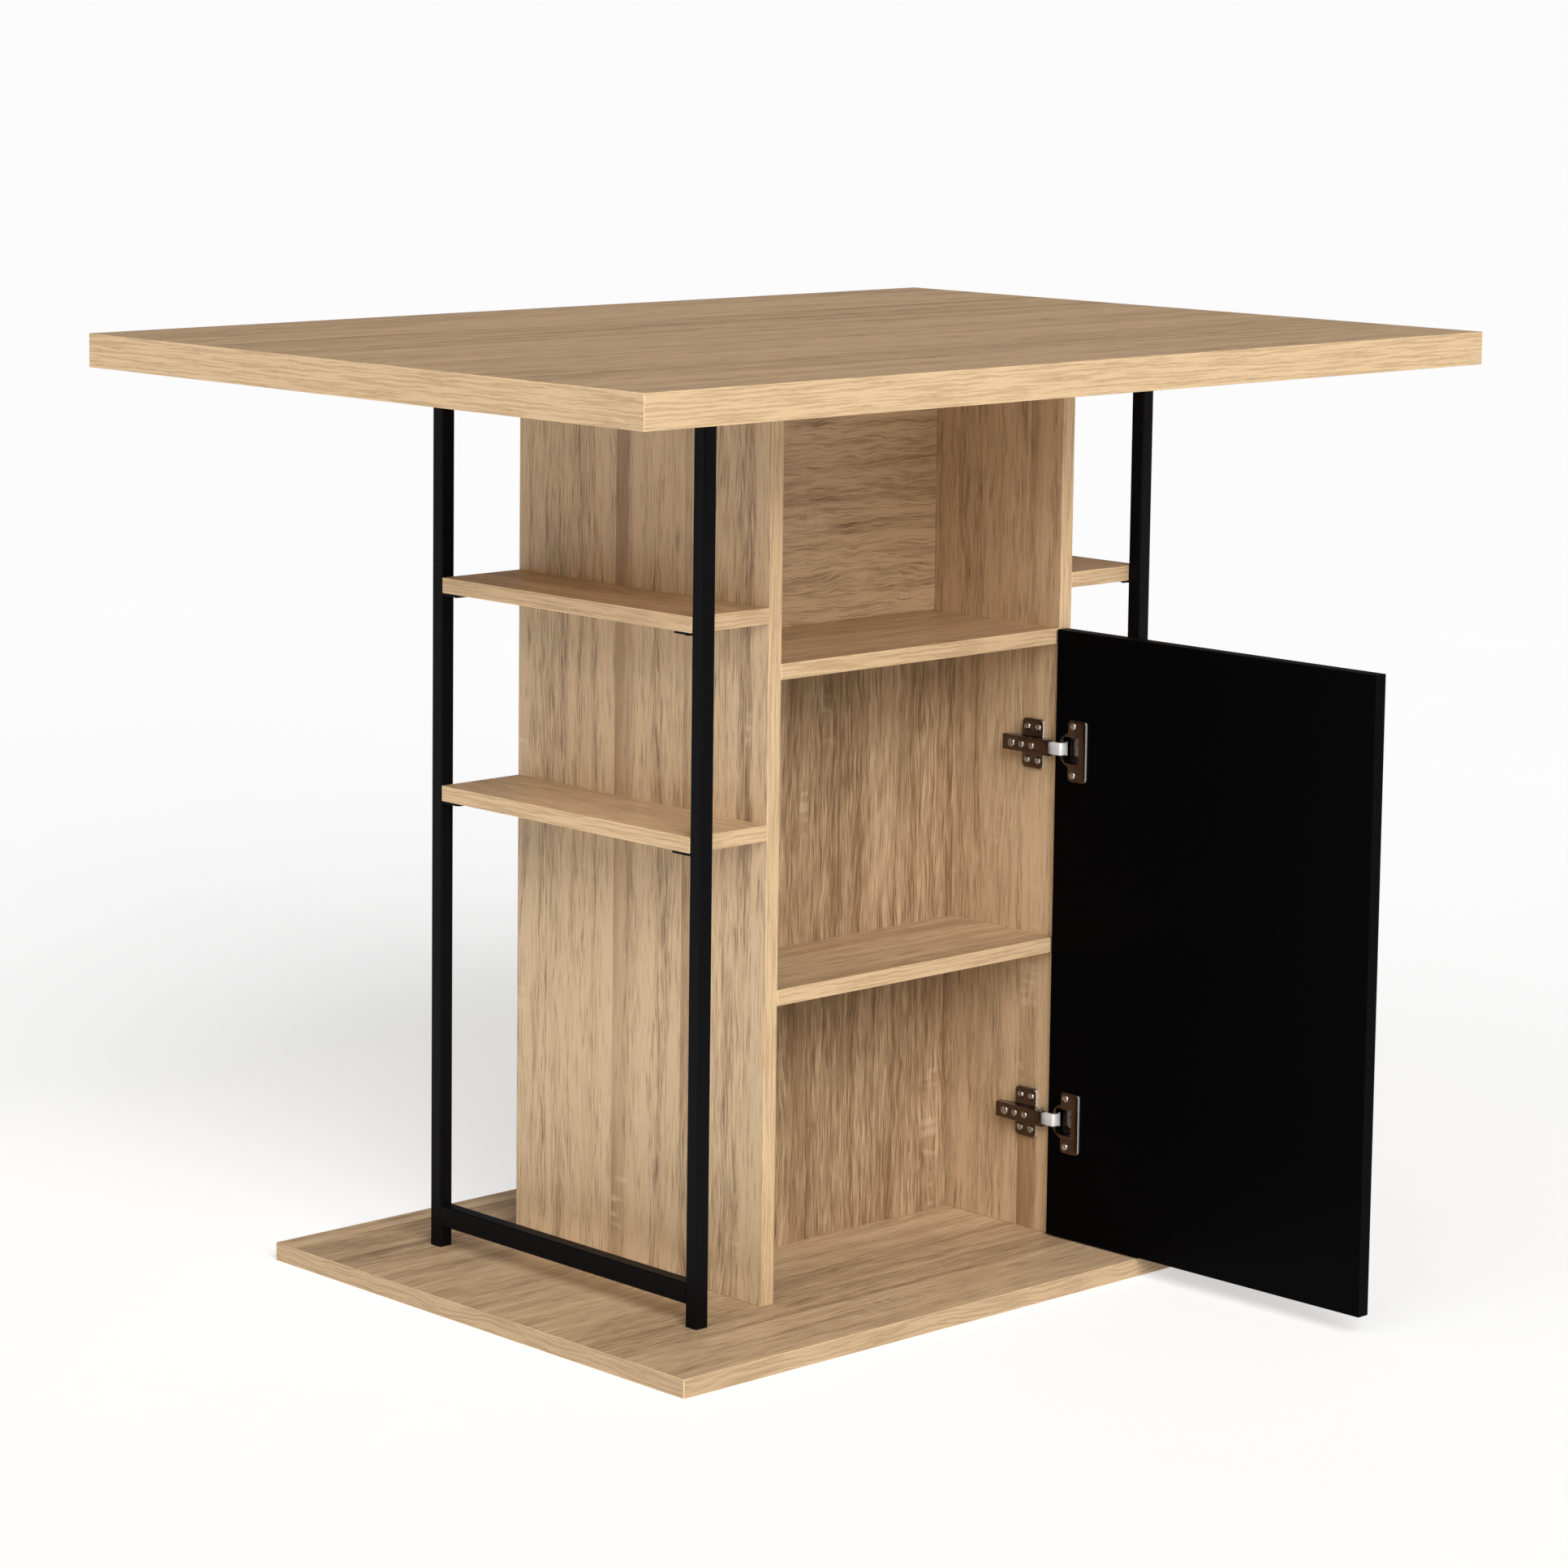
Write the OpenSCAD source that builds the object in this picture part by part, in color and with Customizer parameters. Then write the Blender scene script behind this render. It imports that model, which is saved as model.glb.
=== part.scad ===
// Kitchen island: a wooden cabinet with an open niche above a cupboard,
// two shelves on each side held by black steel side frames, a wide
// tabletop and a base plate. +X runs along the tabletop, the door side
// faces -Y and +Z is up. The origin is on the floor, below the middle
// of the base plate. All sizes are in millimetres.

/* [Tabletop and base] */
// Height from the floor to the table face
total_h = 900; // [860:5:960]
// Length of the tabletop
top_l = 1104; // [900:2:1400]
// Depth of the tabletop
top_w = 776; // [600:2:1000]
// Thickness of the tabletop
top_t = 32; // [25:1:40]
// Length of the base plate
base_l = 814; // [700:2:1100]
// Depth of the base plate
base_w = 582; // [450:2:800]
// Thickness of the base plate
base_t = 18; // [16:1:28]

/* [Cabinet] */
// Outer width of the cabinet
cab_w = 404; // [340:2:500]
// Depth of the cabinet
cab_d = 348; // [320:2:420]
// Thickness of the side panels
panel_t = 16; // [15:1:22]
// Thickness of the shelves and back panels
board_t = 15; // [15:1:20]
// Height of the niche shelf's top face above the floor
niche_shelf_z = 617; // [580:1:640]
// Height of the cupboard shelf's top face above the floor
middle_shelf_z = 314; // [200:1:420]
// Depth of the niche in front of its back panel
niche_depth = 168; // [120:1:190]
// Depth of the cupboard in front of its back panel
cupboard_depth = 137; // [120:1:190]

/* [Side shelves] */
// Width of a side shelf
side_shelf_w = 96; // [80:1:140]
// Height of the upper side shelves' top faces above the floor
upper_shelf_z = 670; // [600:1:760]
// Height of the lower side shelves' top faces above the floor
lower_shelf_z = 470; // [380:1:560]

/* [Steel frames] */
// Width of the square posts
post_s = 15; // [14:1:25]
// Wall of the steel tubes
tube_wall = 1.5; // [1:0.1:2]
// Outer corner radius of the steel tubes
tube_r = 1.8; // [1:0.1:2.5]
// Height of the flat rails
rail_h = 20; // [15:1:30]
// Clear height between the base plate and a bottom rail
rail_gap = 21; // [10:1:60]
// Length of the tabs below the side shelves
tab_l = 25; // [20:1:40]
// Thickness of the tabs below the side shelves
tab_t = 2; // [1.5:0.1:3]

/* [Door] */
// How far the door is open in degrees, 91 as photographed
door_open = 91; // [0:1:100]
// Thickness of the door
door_t = 15; // [15:1:19]
// How far the door covers the front edge of a side panel
door_overlap = 6; // [4:1:10]
// Gap between the closed door and the cabinet front
door_gap = 3.5; // [3:0.1:4]
// Gap between the door and the base plate
door_bottom_gap = 1.5; // [1:0.5:4]
// How far the door's top edge stays below the niche shelf's top face
door_top_drop = 0.5; // [0:0.5:5]

/* [Hinges] */
// Distance of each hinge from the door's end
hinge_end = 115.5; // [80:0.5:160]
// Distance from the cabinet front to the arm pin
arm_pin_back = 10; // [10:0.1:11]
// Distance from the side panel's face to the arm pin
arm_pin_off = 4.5; // [4.3:0.1:4.7]
// Diameter of the hinge pins in the arms
arm_pin_d = 3; // [2:0.1:3.4]
// Diameter of the hinge pins in the cups
cup_pin_d = 2; // [1.5:0.1:2.2]
// Thickness of the wing plate
wing_t = 3.2; // [2:0.1:3.6]
// Thickness of the stamped arm
arm_t = 1.2; // [1:0.1:1.5]
// Height of the stamped arm
arm_h = 15; // [14:0.1:17]
// Diameter of the cup
cup_d = 35; // [34:0.5:36]
// Depth of the cup bore in the door
cup_bore_depth = 12; // [12:0.1:12.6]
// Distance from the door's hinge edge to the middle of the cup
cup_inset = 22.5; // [22:0.1:23.5]
// Distance between the two screws of a cup
cup_screw_pitch = 48; // [44:1:52]

/* [Hidden] */
$fn = 64;

// Colours
oak = "burlywood";
oak_edge = "wheat";
black = "#1a1a1a";
nickel = "#b0a090";
bright = "#e8e8e8";

// Clearance of fixed pins, dowels and screws in their holes
fixed_gap = 0.05;
// Clearance of a pin that turns
turn_gap = 0.08;
// Small distance by which a cutting tool passes a face
cut = 0.5;

// Places of the main faces
under_top = total_h - top_t;
panel_out_x = cab_w / 2;
panel_in_x = panel_out_x - panel_t;
front_y = -cab_d / 2;
rear_y = cab_d / 2;
frame_x = panel_out_x + side_shelf_w;
niche_back_y = front_y + niche_depth;
lower_back_y = front_y + cupboard_depth;
niche_shelf_under = niche_shelf_z - board_t;

// Dowels
dowel_d = 8;
dowel_in_panel = 10;
dowel_in_board = 20;
dowel_end_gap = 0.5;
shelf_dowel_y = 110;
top_dowel_y = 120;
back_dowel_end = 60;

// Cam locks below the niche shelf and the cupboard shelf
cam_d = 15;
cam_h = 12;
cam_inset = 34;
cam_bolt_d = 6;
cam_bolt_thread_d = 5;
cam_bolt_in_panel = 11;
cam_head_d = 7;
cam_head_l = 3;
cam_neck_d = 4.5;
cam_slot_d = 8;
cam_front_inset = 40;
cam_rear_inset = 40;

// Screws and bolts
foot_screw_d = 7;
foot_screw_head_d = 10;
foot_screw_head_h = 3;
foot_screw_l = 50;
foot_screw_y = 130;
foot_screw_back_x = 110;
foot_bolt_d = 6;
foot_bolt_head_d = 12;
foot_bolt_head_h = 3.3;
foot_bolt_in_post = 9;
post_plug_h = 12;
foot_bolt_l = base_t + foot_bolt_in_post;
head_recess = 0.6;
head_sink = 0.6;
rail_screw_d = 4.5;
rail_screw_head_d = 9;
rail_screw_head_h = 2.6;
rail_screw_in_top = 18;
rail_screw_y = 110;
tab_screw_d = 3.5;
tab_screw_head_d = 7;
tab_screw_head_h = 2.2;
tab_screw_in_shelf = 10;
tab_r = 3;
cross_w = 0.9;

// Hinges: the plate on the panel
wing_l = 27;
wing_h = 48.5;
wing_r = 4.5;
wing_back = 16.3;
wing_screw_inset = 6.5;
wing_screw_w = 16;
plate_screw_d = 3.5;
plate_screw_head_d = 7.6;
plate_screw_head_h = 1.8;
plate_screw_in_panel = 11;
bridge_start = 14;
bridge_end = 54;
bridge_top = 8;
bridge_side_gap = 0.5;
bridge_r = 2;

// Hinges: the arm
arm_nose = -1;
arm_tail = 59;
arm_top = 14.5;
arm_nose_r = 3;
arm_screw_vs = [21.2, 34.5, 47.7];
arm_screw_head_ds = [7, 7, 8.6];
arm_screw_d = 4.5;
arm_screw_head_h = 1.6;
arm_screw_in_bridge = 6;

// Hinges: the turning axis of the door, and how the link follows it
rest_open = 91;
pivot_off = 0.4;
pivot_front = 8.6;
link_ratio = 0.15;
pivot_x = panel_in_x - pivot_off;
pivot_y = front_y - pivot_front;
hinge_edge_x = panel_in_x + door_overlap;
door_face_y = front_y - door_gap;
door_w = 2 * (panel_in_x + door_overlap);
door_z0 = base_t + door_bottom_gap;
door_z1 = niche_shelf_z - door_top_drop;
hinge_zs = [door_z0 + hinge_end, door_z1 - hinge_end];

// Hinges: the hook-shaped link, measured off the panel and back from its front
link_side_gap = 0.3;
link_h = arm_h - 2 * arm_t - 2 * link_side_gap;
link_top = 10;
link_neck = 2.5;
link_web_t = 1.5;
link_ear_t = 1.2;
link_eye_r = 2.6;
link_tail = 9;
link_tip_off = 0.8;
link_bend_r = 3;
link_tip_low = 13.4;
link_tip_high = 11;
link_notch_gap = 0.8;
link_bend_u = link_top - link_bend_r;
link_bend_v = link_bend_r - link_tip_low;
link_neck_u = link_top - link_neck;

// Hinges: the cup in the door
cup_gap = 0.1;
cup_wall = 1;
cup_floor_t = 0.8;
cup_end_gap = 0.2;
cup_rim_t = 1;
cup_mouth_h = 26;
cup_mouth_end = 32;
cup_throat_gap = 1;
cup_throat_h = link_h + 2 * cup_throat_gap;
cup_throat_s = 11;
cup_pin_s = 8.5;
cup_pin_deep = 7;
cup_pin_bite = 1.4;
cup_pin_end = 0.5;
spring_s = 27;
spring_deep = 5;
spring_r = 3.2;
spring_h = 11;
flange_t = 2.4;
flange_s0 = 18.6;
flange_w = 22;
flange_h = 60;
flange_r = 4;
cup_screw_s = 24.5;
cup_screw_d = 3.5;
cup_screw_head_d = 7.4;
cup_screw_head_h = 1.8;
cup_screw_in_door = 10;

// Flat and solid helpers

// A rectangle around the origin with round corners
module rounded_rect(w, h, r) {
  square([w - 2 * r, h], center = true);
  square([w, h - 2 * r], center = true);
  for (sx = [-1, 1], sy = [-1, 1]) {
    translate([sx * (w / 2 - r), sy * (h / 2 - r)]) circle(r = r);
  }
}

// A rectangular tube standing along Z, with walls of one thickness
module tube(w, d, h) {
  linear_extrude(h) difference() {
    rounded_rect(w, d, tube_r);
    square([w - 2 * tube_wall, d - 2 * tube_wall], center = true);
  }
}

// A board between two opposite corners
module board(from, to) {
  translate(from) cube(to - from);
}

// The cross recess cut into a screw head whose top is at z = 0
module cross_recess(head_d) {
  reach = head_d * 0.55;
  cube([reach, cross_w, 2 * head_recess], center = true);
  cube([cross_w, reach, 2 * head_recess], center = true);
}

// A screw with a domed head on z = 0, its shank going down
module pan_screw(head_d, head_h, shank_d, shank_l) {
  difference() {
    union() {
      cylinder(d = head_d, h = head_h / 2);
      translate([0, 0, head_h / 2]) cylinder(d1 = head_d, d2 = head_d * 0.7, h = head_h / 2);
    }
    translate([0, 0, head_h]) cross_recess(head_d);
  }
  translate([0, 0, -shank_l]) cylinder(d = shank_d, h = shank_l);
}

// A countersunk screw pointing up, its head sunk by head_sink above z = 0
module flush_screw(head_d, head_h, shank_d, shank_l) {
  rim_d = head_d - (head_d - shank_d) * head_sink / head_h;
  translate([0, 0, head_sink]) difference() {
    cylinder(d1 = rim_d, d2 = shank_d, h = head_h - head_sink);
    cross_recess(head_d);
  }
  translate([0, 0, head_h]) cylinder(d = shank_d, h = shank_l - head_h);
}

// The hole for such a screw
module flush_hole(head_d, head_h, shank_d, shank_l) {
  g = fixed_gap;
  translate([0, 0, -cut]) cylinder(d = head_d + 2 * g, h = cut);
  cylinder(d1 = head_d + 2 * g, d2 = shank_d + 2 * g, h = head_h);
  hole(shank_d, 0, shank_l);
}

// The hole for something of diameter d that reaches from z0 to z1
module hole(d, z0, z1) {
  translate([0, 0, z0 - fixed_gap]) cylinder(d = d + 2 * fixed_gap, h = z1 - z0 + 2 * fixed_gap);
}

// Places of the repeated fittings

// A point on a side panel's inner face, +Z pointing into the cabinet and +X up
module on_inner_face(side, y, z) {
  translate([side * panel_in_x, y, z]) rotate([0, -side * 90, 0]) mirror([side < 0 ? 1 : 0, 0, 0]) children();
}

// Every dowel: its seam at z = 0, the short end below and the long end above
module at_dowels() {
  for (side = [-1, 1]) {
    for (y = [-1, 1] * top_dowel_y) {
      translate([side * (panel_out_x - panel_t / 2), y, under_top]) rotate([180, 0, 0]) children();
    }
    for (z = [upper_shelf_z, lower_shelf_z], y = [-1, 1] * shelf_dowel_y) {
      translate([side * panel_out_x, y, z - board_t / 2]) rotate([0, side * 90, 0]) children();
    }
    for (y = [-1, 1] * shelf_dowel_y) {
      on_inner_face(side, y, niche_shelf_z - board_t / 2) children();
    }
    for (y = [front_y + cam_front_inset + cam_d, lower_back_y - cam_rear_inset / 2]) {
      on_inner_face(side, y, middle_shelf_z - board_t / 2) children();
    }
    for (z = [base_t + back_dowel_end, niche_shelf_under - back_dowel_end]) {
      on_inner_face(side, lower_back_y + board_t / 2, z) children();
    }
    for (z = [niche_shelf_z + back_dowel_end, under_top - back_dowel_end]) {
      on_inner_face(side, niche_back_y + board_t / 2, z) children();
    }
  }
}

// A dowel in such a place
module dowel_at_seam() {
  translate([0, 0, -dowel_in_panel]) cylinder(d = dowel_d, h = dowel_in_panel + dowel_in_board);
}

// The hole for that dowel
module dowel_hole() {
  translate([0, 0, -dowel_in_panel - dowel_end_gap])
    cylinder(d = dowel_d + 2 * fixed_gap, h = dowel_in_panel + dowel_in_board + 2 * dowel_end_gap);
}

// Every cam lock: at the panel's face, +Z into the shelf and +X up
module at_cams() {
  for (side = [-1, 1]) {
    for (y = [front_y + cam_front_inset, rear_y - cam_rear_inset]) {
      on_inner_face(side, y, niche_shelf_z - board_t / 2) children();
    }
    for (y = [front_y + cam_front_inset, lower_back_y - cam_rear_inset]) {
      on_inner_face(side, y, middle_shelf_z - board_t / 2) children();
    }
  }
}

// The bolt of a cam lock: thread in the panel, neck and head in the cam
module cam_bolt() {
  translate([0, 0, -cam_bolt_in_panel]) cylinder(d = cam_bolt_thread_d, h = cam_bolt_in_panel);
  cylinder(d = cam_bolt_d, h = cam_inset - cam_d / 2);
  cylinder(d = cam_neck_d, h = cam_inset);
  translate([0, 0, cam_inset - cam_head_l / 2]) cylinder(d = cam_head_d, h = cam_head_l);
}

// The bores for a cam lock's bolt
module cam_bolt_hole() {
  hole(cam_bolt_thread_d, -cam_bolt_in_panel, 0);
  cylinder(d = cam_slot_d, h = cam_inset);
}

// The cam itself, a disc let into the shelf from below
module cam_disc() {
  difference() {
    translate([-board_t / 2, 0, cam_inset]) rotate([0, 90, 0])
      cylinder(d = cam_d - 2 * fixed_gap, h = cam_h);
    translate([0, 0, cam_inset - cam_d]) cylinder(d = cam_slot_d, h = cam_d + cam_head_l);
    translate([-board_t / 2, 0, cam_inset]) rotate([0, 90, 0]) cross_recess(cam_d);
  }
}

// The pocket for the cam
module cam_pocket() {
  translate([-board_t / 2 - cut, 0, cam_inset]) rotate([0, 90, 0]) cylinder(d = cam_d, h = cam_h + cut);
}

module at_posts() {
  for (sx = [-1, 1], sy = [-1, 1]) {
    translate([sx * (frame_x - post_s / 2), sy * (rear_y + post_s / 2), base_t]) children();
  }
}

module at_foot_screws() {
  for (sx = [-1, 1], y = [-1, 1] * foot_screw_y) {
    translate([sx * (panel_out_x - panel_t / 2), y, 0]) children();
  }
  for (x = [-1, 1] * foot_screw_back_x) {
    translate([x, lower_back_y + board_t / 2, 0]) children();
  }
}

module at_rail_screws() {
  for (sx = [-1, 1], y = [-1, 1] * rail_screw_y) {
    translate([sx * (frame_x - post_s / 2), y, under_top - rail_h]) children();
  }
}

// Every tab: its middle at the shelf's underside, long side along Y
module at_tabs(sides) {
  for (sx = sides, sy = [-1, 1], z = [upper_shelf_z, lower_shelf_z]) {
    translate([sx * (frame_x - post_s / 2), sy * (rear_y - tab_l / 2), z - board_t])
      rotate([0, 0, sy > 0 ? 0 : 180]) children();
  }
}

// Boards

module tabletop() {
  color(oak) difference() {
    board([-top_l / 2, -top_w / 2, under_top], [top_l / 2, top_w / 2, total_h]);
    at_dowels() dowel_hole();
    at_rail_screws() hole(rail_screw_d, 0, rail_h + rail_screw_in_top);
  }
}

module base_plate() {
  color(oak) difference() {
    board([-base_l / 2, -base_w / 2, 0], [base_l / 2, base_w / 2, base_t]);
    at_foot_screws() flush_hole(foot_screw_head_d, foot_screw_head_h, foot_screw_d, foot_screw_l);
    translate([0, 0, -base_t]) at_posts()
      flush_hole(foot_bolt_head_d, foot_bolt_head_h, foot_bolt_d, foot_bolt_l);
  }
}

module side_panel(side) {
  x0 = side < 0 ? -panel_out_x : panel_in_x;
  color(oak) difference() {
    board([x0, front_y, base_t], [x0 + panel_t, rear_y, under_top]);
    at_dowels() dowel_hole();
    at_cams() cam_bolt_hole();
    at_foot_screws() flush_hole(foot_screw_head_d, foot_screw_head_h, foot_screw_d, foot_screw_l);
    if (side > 0) {
      at_plate_screws() hole(plate_screw_d, -plate_screw_in_panel - wing_t, 0);
    }
  }
}

module niche_shelf() {
  color(oak) difference() {
    board([-panel_in_x, front_y, niche_shelf_under], [panel_in_x, rear_y, niche_shelf_z]);
    at_dowels() dowel_hole();
    at_cams() cam_bolt_hole();
    at_cams() cam_pocket();
  }
}

module middle_shelf() {
  color(oak) difference() {
    board([-panel_in_x, front_y, middle_shelf_z - board_t], [panel_in_x, lower_back_y, middle_shelf_z]);
    at_dowels() dowel_hole();
    at_cams() cam_bolt_hole();
    at_cams() cam_pocket();
  }
}

module niche_back_panel() {
  color(oak) difference() {
    board([-panel_in_x, niche_back_y, niche_shelf_z], [panel_in_x, niche_back_y + board_t, under_top]);
    at_dowels() dowel_hole();
  }
}

module lower_back_panel() {
  color(oak) difference() {
    board([-panel_in_x, lower_back_y, base_t], [panel_in_x, lower_back_y + board_t, niche_shelf_under]);
    at_dowels() dowel_hole();
    at_foot_screws() flush_hole(foot_screw_head_d, foot_screw_head_h, foot_screw_d, foot_screw_l);
  }
}

module side_shelf(side, z) {
  x0 = side < 0 ? -frame_x : panel_out_x;
  color(oak) difference() {
    board([x0, front_y, z - board_t], [x0 + side_shelf_w, rear_y, z]);
    at_dowels() dowel_hole();
    at_tabs([side]) hole(tab_screw_d, 0, tab_screw_in_shelf);
  }
}

// Steel side frames

// A post: a square tube with a threaded plug in its foot and a closed top
module post(sx, sy) {
  inner = post_s - 2 * tube_wall;
  post_l = under_top - base_t;
  color(black) translate([sx * (frame_x - post_s / 2), sy * (rear_y + post_s / 2), base_t]) difference() {
    union() {
      tube(post_s, post_s, post_l);
      translate([-inner / 2, -inner / 2, 0]) cube([inner, inner, post_plug_h]);
      translate([-inner / 2, -inner / 2, post_l - tube_wall]) cube([inner, inner, tube_wall]);
    }
    translate([0, 0, -cut]) cylinder(d = foot_bolt_d + 2 * fixed_gap, h = post_plug_h + 2 * cut);
  }
}

// A rail: a flat tube lying between the posts
module rail(sx, z) {
  color(black) translate([sx * (frame_x - post_s / 2), rear_y, z + rail_h / 2])
    rotate([90, 0, 0]) tube(post_s, rail_h, cab_d);
}

module bottom_rail(sx) {
  rail(sx, base_t + rail_gap);
}

module top_rail(sx) {
  difference() {
    rail(sx, under_top - rail_h);
    at_rail_screws() hole(rail_screw_d, -cut, rail_h + cut);
  }
}

// Tabs welded to the posts, one below each end of a side shelf
module shelf_tabs(side) {
  color(black) difference() {
    at_tabs([side]) translate([0, 0, -tab_t]) linear_extrude(tab_t) {
      translate([0, tab_r / 2]) square([post_s, tab_l - tab_r], center = true);
      translate([0, -tab_l / 2 + tab_r / 2]) square([post_s - 2 * tab_r, tab_r], center = true);
      for (x = [-1, 1] * (post_s / 2 - tab_r)) {
        translate([x, -tab_l / 2 + tab_r]) circle(r = tab_r);
      }
    }
    at_tabs([side]) hole(tab_screw_d, -tab_t - cut, cut);
  }
}

// Fasteners

module shelf_tab_screws() {
  color(black) at_tabs([-1, 1]) translate([0, 0, -tab_t]) rotate([180, 0, 0])
    pan_screw(tab_screw_head_d, tab_screw_head_h, tab_screw_d, tab_t + tab_screw_in_shelf);
}

module post_foot_bolts() {
  color(bright) translate([0, 0, -base_t]) at_posts()
    flush_screw(foot_bolt_head_d, foot_bolt_head_h, foot_bolt_d, foot_bolt_l);
}

module top_rail_screws() {
  color(black) at_rail_screws() rotate([180, 0, 0])
    pan_screw(rail_screw_head_d, rail_screw_head_h, rail_screw_d, rail_h + rail_screw_in_top);
}

module panel_foot_screws() {
  color(bright) at_foot_screws()
    flush_screw(foot_screw_head_d, foot_screw_head_h, foot_screw_d, foot_screw_l);
}

module dowels() {
  color(oak_edge) at_dowels() dowel_at_seam();
}

module cam_bolts() {
  color(bright) at_cams() cam_bolt();
}

module cam_locks() {
  color(nickel) at_cams() cam_disc();
}

// Hinges. On the panel, x is the distance off its inner face, y the
// distance back from its front edge and z the height above the hinge's middle.
module at_hinges() {
  for (z = hinge_zs) {
    translate([panel_in_x, front_y, z]) mirror([1, 0, 0]) children();
  }
}

// A flat outline in (y, z) raised off the panel by h
module raised(h) {
  rotate([90, 0, 90]) linear_extrude(h) children();
}

// Places of the screws through the wings, +Z pointing off the panel
module at_plate_screws() {
  for (z = hinge_zs, w = [-1, 1] * wing_screw_w) {
    for (v = [wing_back + wing_screw_inset, wing_back + wing_l - wing_screw_inset]) {
      translate([panel_in_x - wing_t, front_y + v, z + w]) rotate([0, -90, 0]) children();
    }
  }
}

// The place of one of the three screws in each arm, +Z pointing off the panel
module at_arm_screw(i) {
  for (z = hinge_zs) {
    translate([panel_in_x - arm_top, front_y + arm_screw_vs[i], z]) rotate([0, -90, 0]) children();
  }
}

// The holes of all the arm screws
module arm_screw_holes() {
  for (i = [0 : 2]) {
    at_arm_screw(i) hole(arm_screw_d, bridge_top - arm_top - arm_screw_in_bridge, cut);
  }
}

module hinge_mounting_plates() {
  bridge_h = arm_h - 2 * arm_t - 2 * bridge_side_gap;
  color(nickel) difference() {
    at_hinges() {
      translate([0, wing_back + wing_l / 2, 0]) raised(wing_t) rounded_rect(wing_l, wing_h, wing_r);
      translate([0, (bridge_start + bridge_end) / 2, 0]) raised(bridge_top)
        rounded_rect(bridge_end - bridge_start, bridge_h, bridge_r);
    }
    at_plate_screws() hole(plate_screw_d, -2 * wing_t, cut);
    arm_screw_holes();
  }
}

module hinge_plate_screws() {
  color(bright) at_plate_screws()
    pan_screw(plate_screw_head_d, plate_screw_head_h, plate_screw_d, plate_screw_in_panel + wing_t);
}

// One cheek of the arm: from the stamped top down to the wing plate, with a nose round the pin
module arm_cheek() {
  polygon([
    [arm_top, arm_nose],
    [arm_top, arm_tail],
    [bridge_top, arm_tail],
    [wing_t, wing_back + wing_l],
    [wing_t, arm_pin_back + arm_nose_r],
    [arm_pin_off, arm_pin_back],
    [arm_pin_off, arm_pin_back - arm_nose_r],
    [bridge_top, arm_nose]
  ]);
  translate([arm_pin_off, arm_pin_back]) circle(r = arm_nose_r);
}

module hinge_arms() {
  cheek_z = arm_h / 2 - arm_t;
  color(nickel) difference() {
    at_hinges() {
      for (z = [-arm_h / 2, cheek_z]) {
        translate([0, 0, z]) linear_extrude(arm_t) arm_cheek();
      }
      translate([arm_top - arm_t, (arm_nose + arm_tail) / 2, 0])
        raised(arm_t) rounded_rect(arm_tail - arm_nose, arm_h, 1);
    }
    at_arm_pins(arm_pin_d / 2 + fixed_gap, arm_h + 2 * cut);
    arm_screw_holes();
  }
}

// A cylinder on the axis of every arm pin
module at_arm_pins(r, h) {
  at_hinges() translate([arm_pin_off, arm_pin_back, -h / 2]) cylinder(r = r, h = h);
}

module hinge_arm_screws() {
  shank = arm_top - bridge_top + arm_screw_in_bridge;
  color(bright) for (i = [0 : 2]) {
    at_arm_screw(i) pan_screw(arm_screw_head_ds[i], arm_screw_head_h, arm_screw_d, shank);
  }
}

module hinge_arm_pins() {
  color(bright) at_arm_pins(arm_pin_d / 2, arm_h);
}

// Where the cup pin stands off the panel and from its front, with the door as photographed
function turned(p, a) = [p[0] * cos(a) - p[1] * sin(a), p[0] * sin(a) + p[1] * cos(a)];
cup_pin_closed = [door_overlap - cup_pin_s + pivot_off, -door_gap - cup_pin_deep + pivot_front];
cup_pin_rest = turned(cup_pin_closed, rest_open);
link_notch_off = pivot_off - cup_pin_rest[0];
link_notch_back = cup_pin_rest[1] - pivot_front;

// The side view of a link: an eye on the arm pin, a neck past the door's
// edge and a tip that reaches into the cup and ends in a notch round the cup pin
module link_cheek() {
  difference() {
    union() {
      translate([arm_pin_off, arm_pin_back]) circle(r = link_eye_r);
      polygon([
        [link_top, link_tail],
        [link_top, link_bend_v],
        [link_neck_u, link_bend_v],
        [link_neck_u, 0],
        [arm_pin_off, arm_pin_back - link_eye_r],
        [arm_pin_off, arm_pin_back + link_eye_r]
      ]);
      link_bend(link_bend_r);
      translate([link_tip_off, -link_tip_low])
        square([link_bend_u - link_tip_off, link_tip_low - link_tip_high]);
    }
    translate([link_notch_off, link_notch_back]) circle(r = cup_pin_d / 2 + link_notch_gap);
  }
}

// The rounded outer corner of a link, a quarter of a disc
module link_bend(r) {
  intersection() {
    translate([link_bend_u, link_bend_v]) circle(r = r);
    translate([link_bend_u, link_bend_v - link_bend_r]) square(link_bend_r);
  }
}

// The stamped back of a link, following the outer edge of its side view
module link_web() {
  translate([link_top - link_web_t, link_bend_v]) square([link_web_t, link_tail - link_bend_v]);
  difference() {
    link_bend(link_bend_r);
    translate([link_bend_u, link_bend_v]) circle(r = link_bend_r - link_web_t);
  }
  translate([link_tip_off, -link_tip_low]) square([link_bend_u - link_tip_off, link_web_t]);
}

module hinge_link() {
  difference() {
    union() {
      for (z = [-link_h / 2, link_h / 2 - link_ear_t]) {
        translate([0, 0, z]) linear_extrude(link_ear_t) link_cheek();
      }
      translate([0, 0, -link_h / 2]) linear_extrude(link_h) link_web();
    }
    translate([arm_pin_off, arm_pin_back, -link_h]) cylinder(r = arm_pin_d / 2 + turn_gap, h = 2 * link_h);
  }
}

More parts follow.
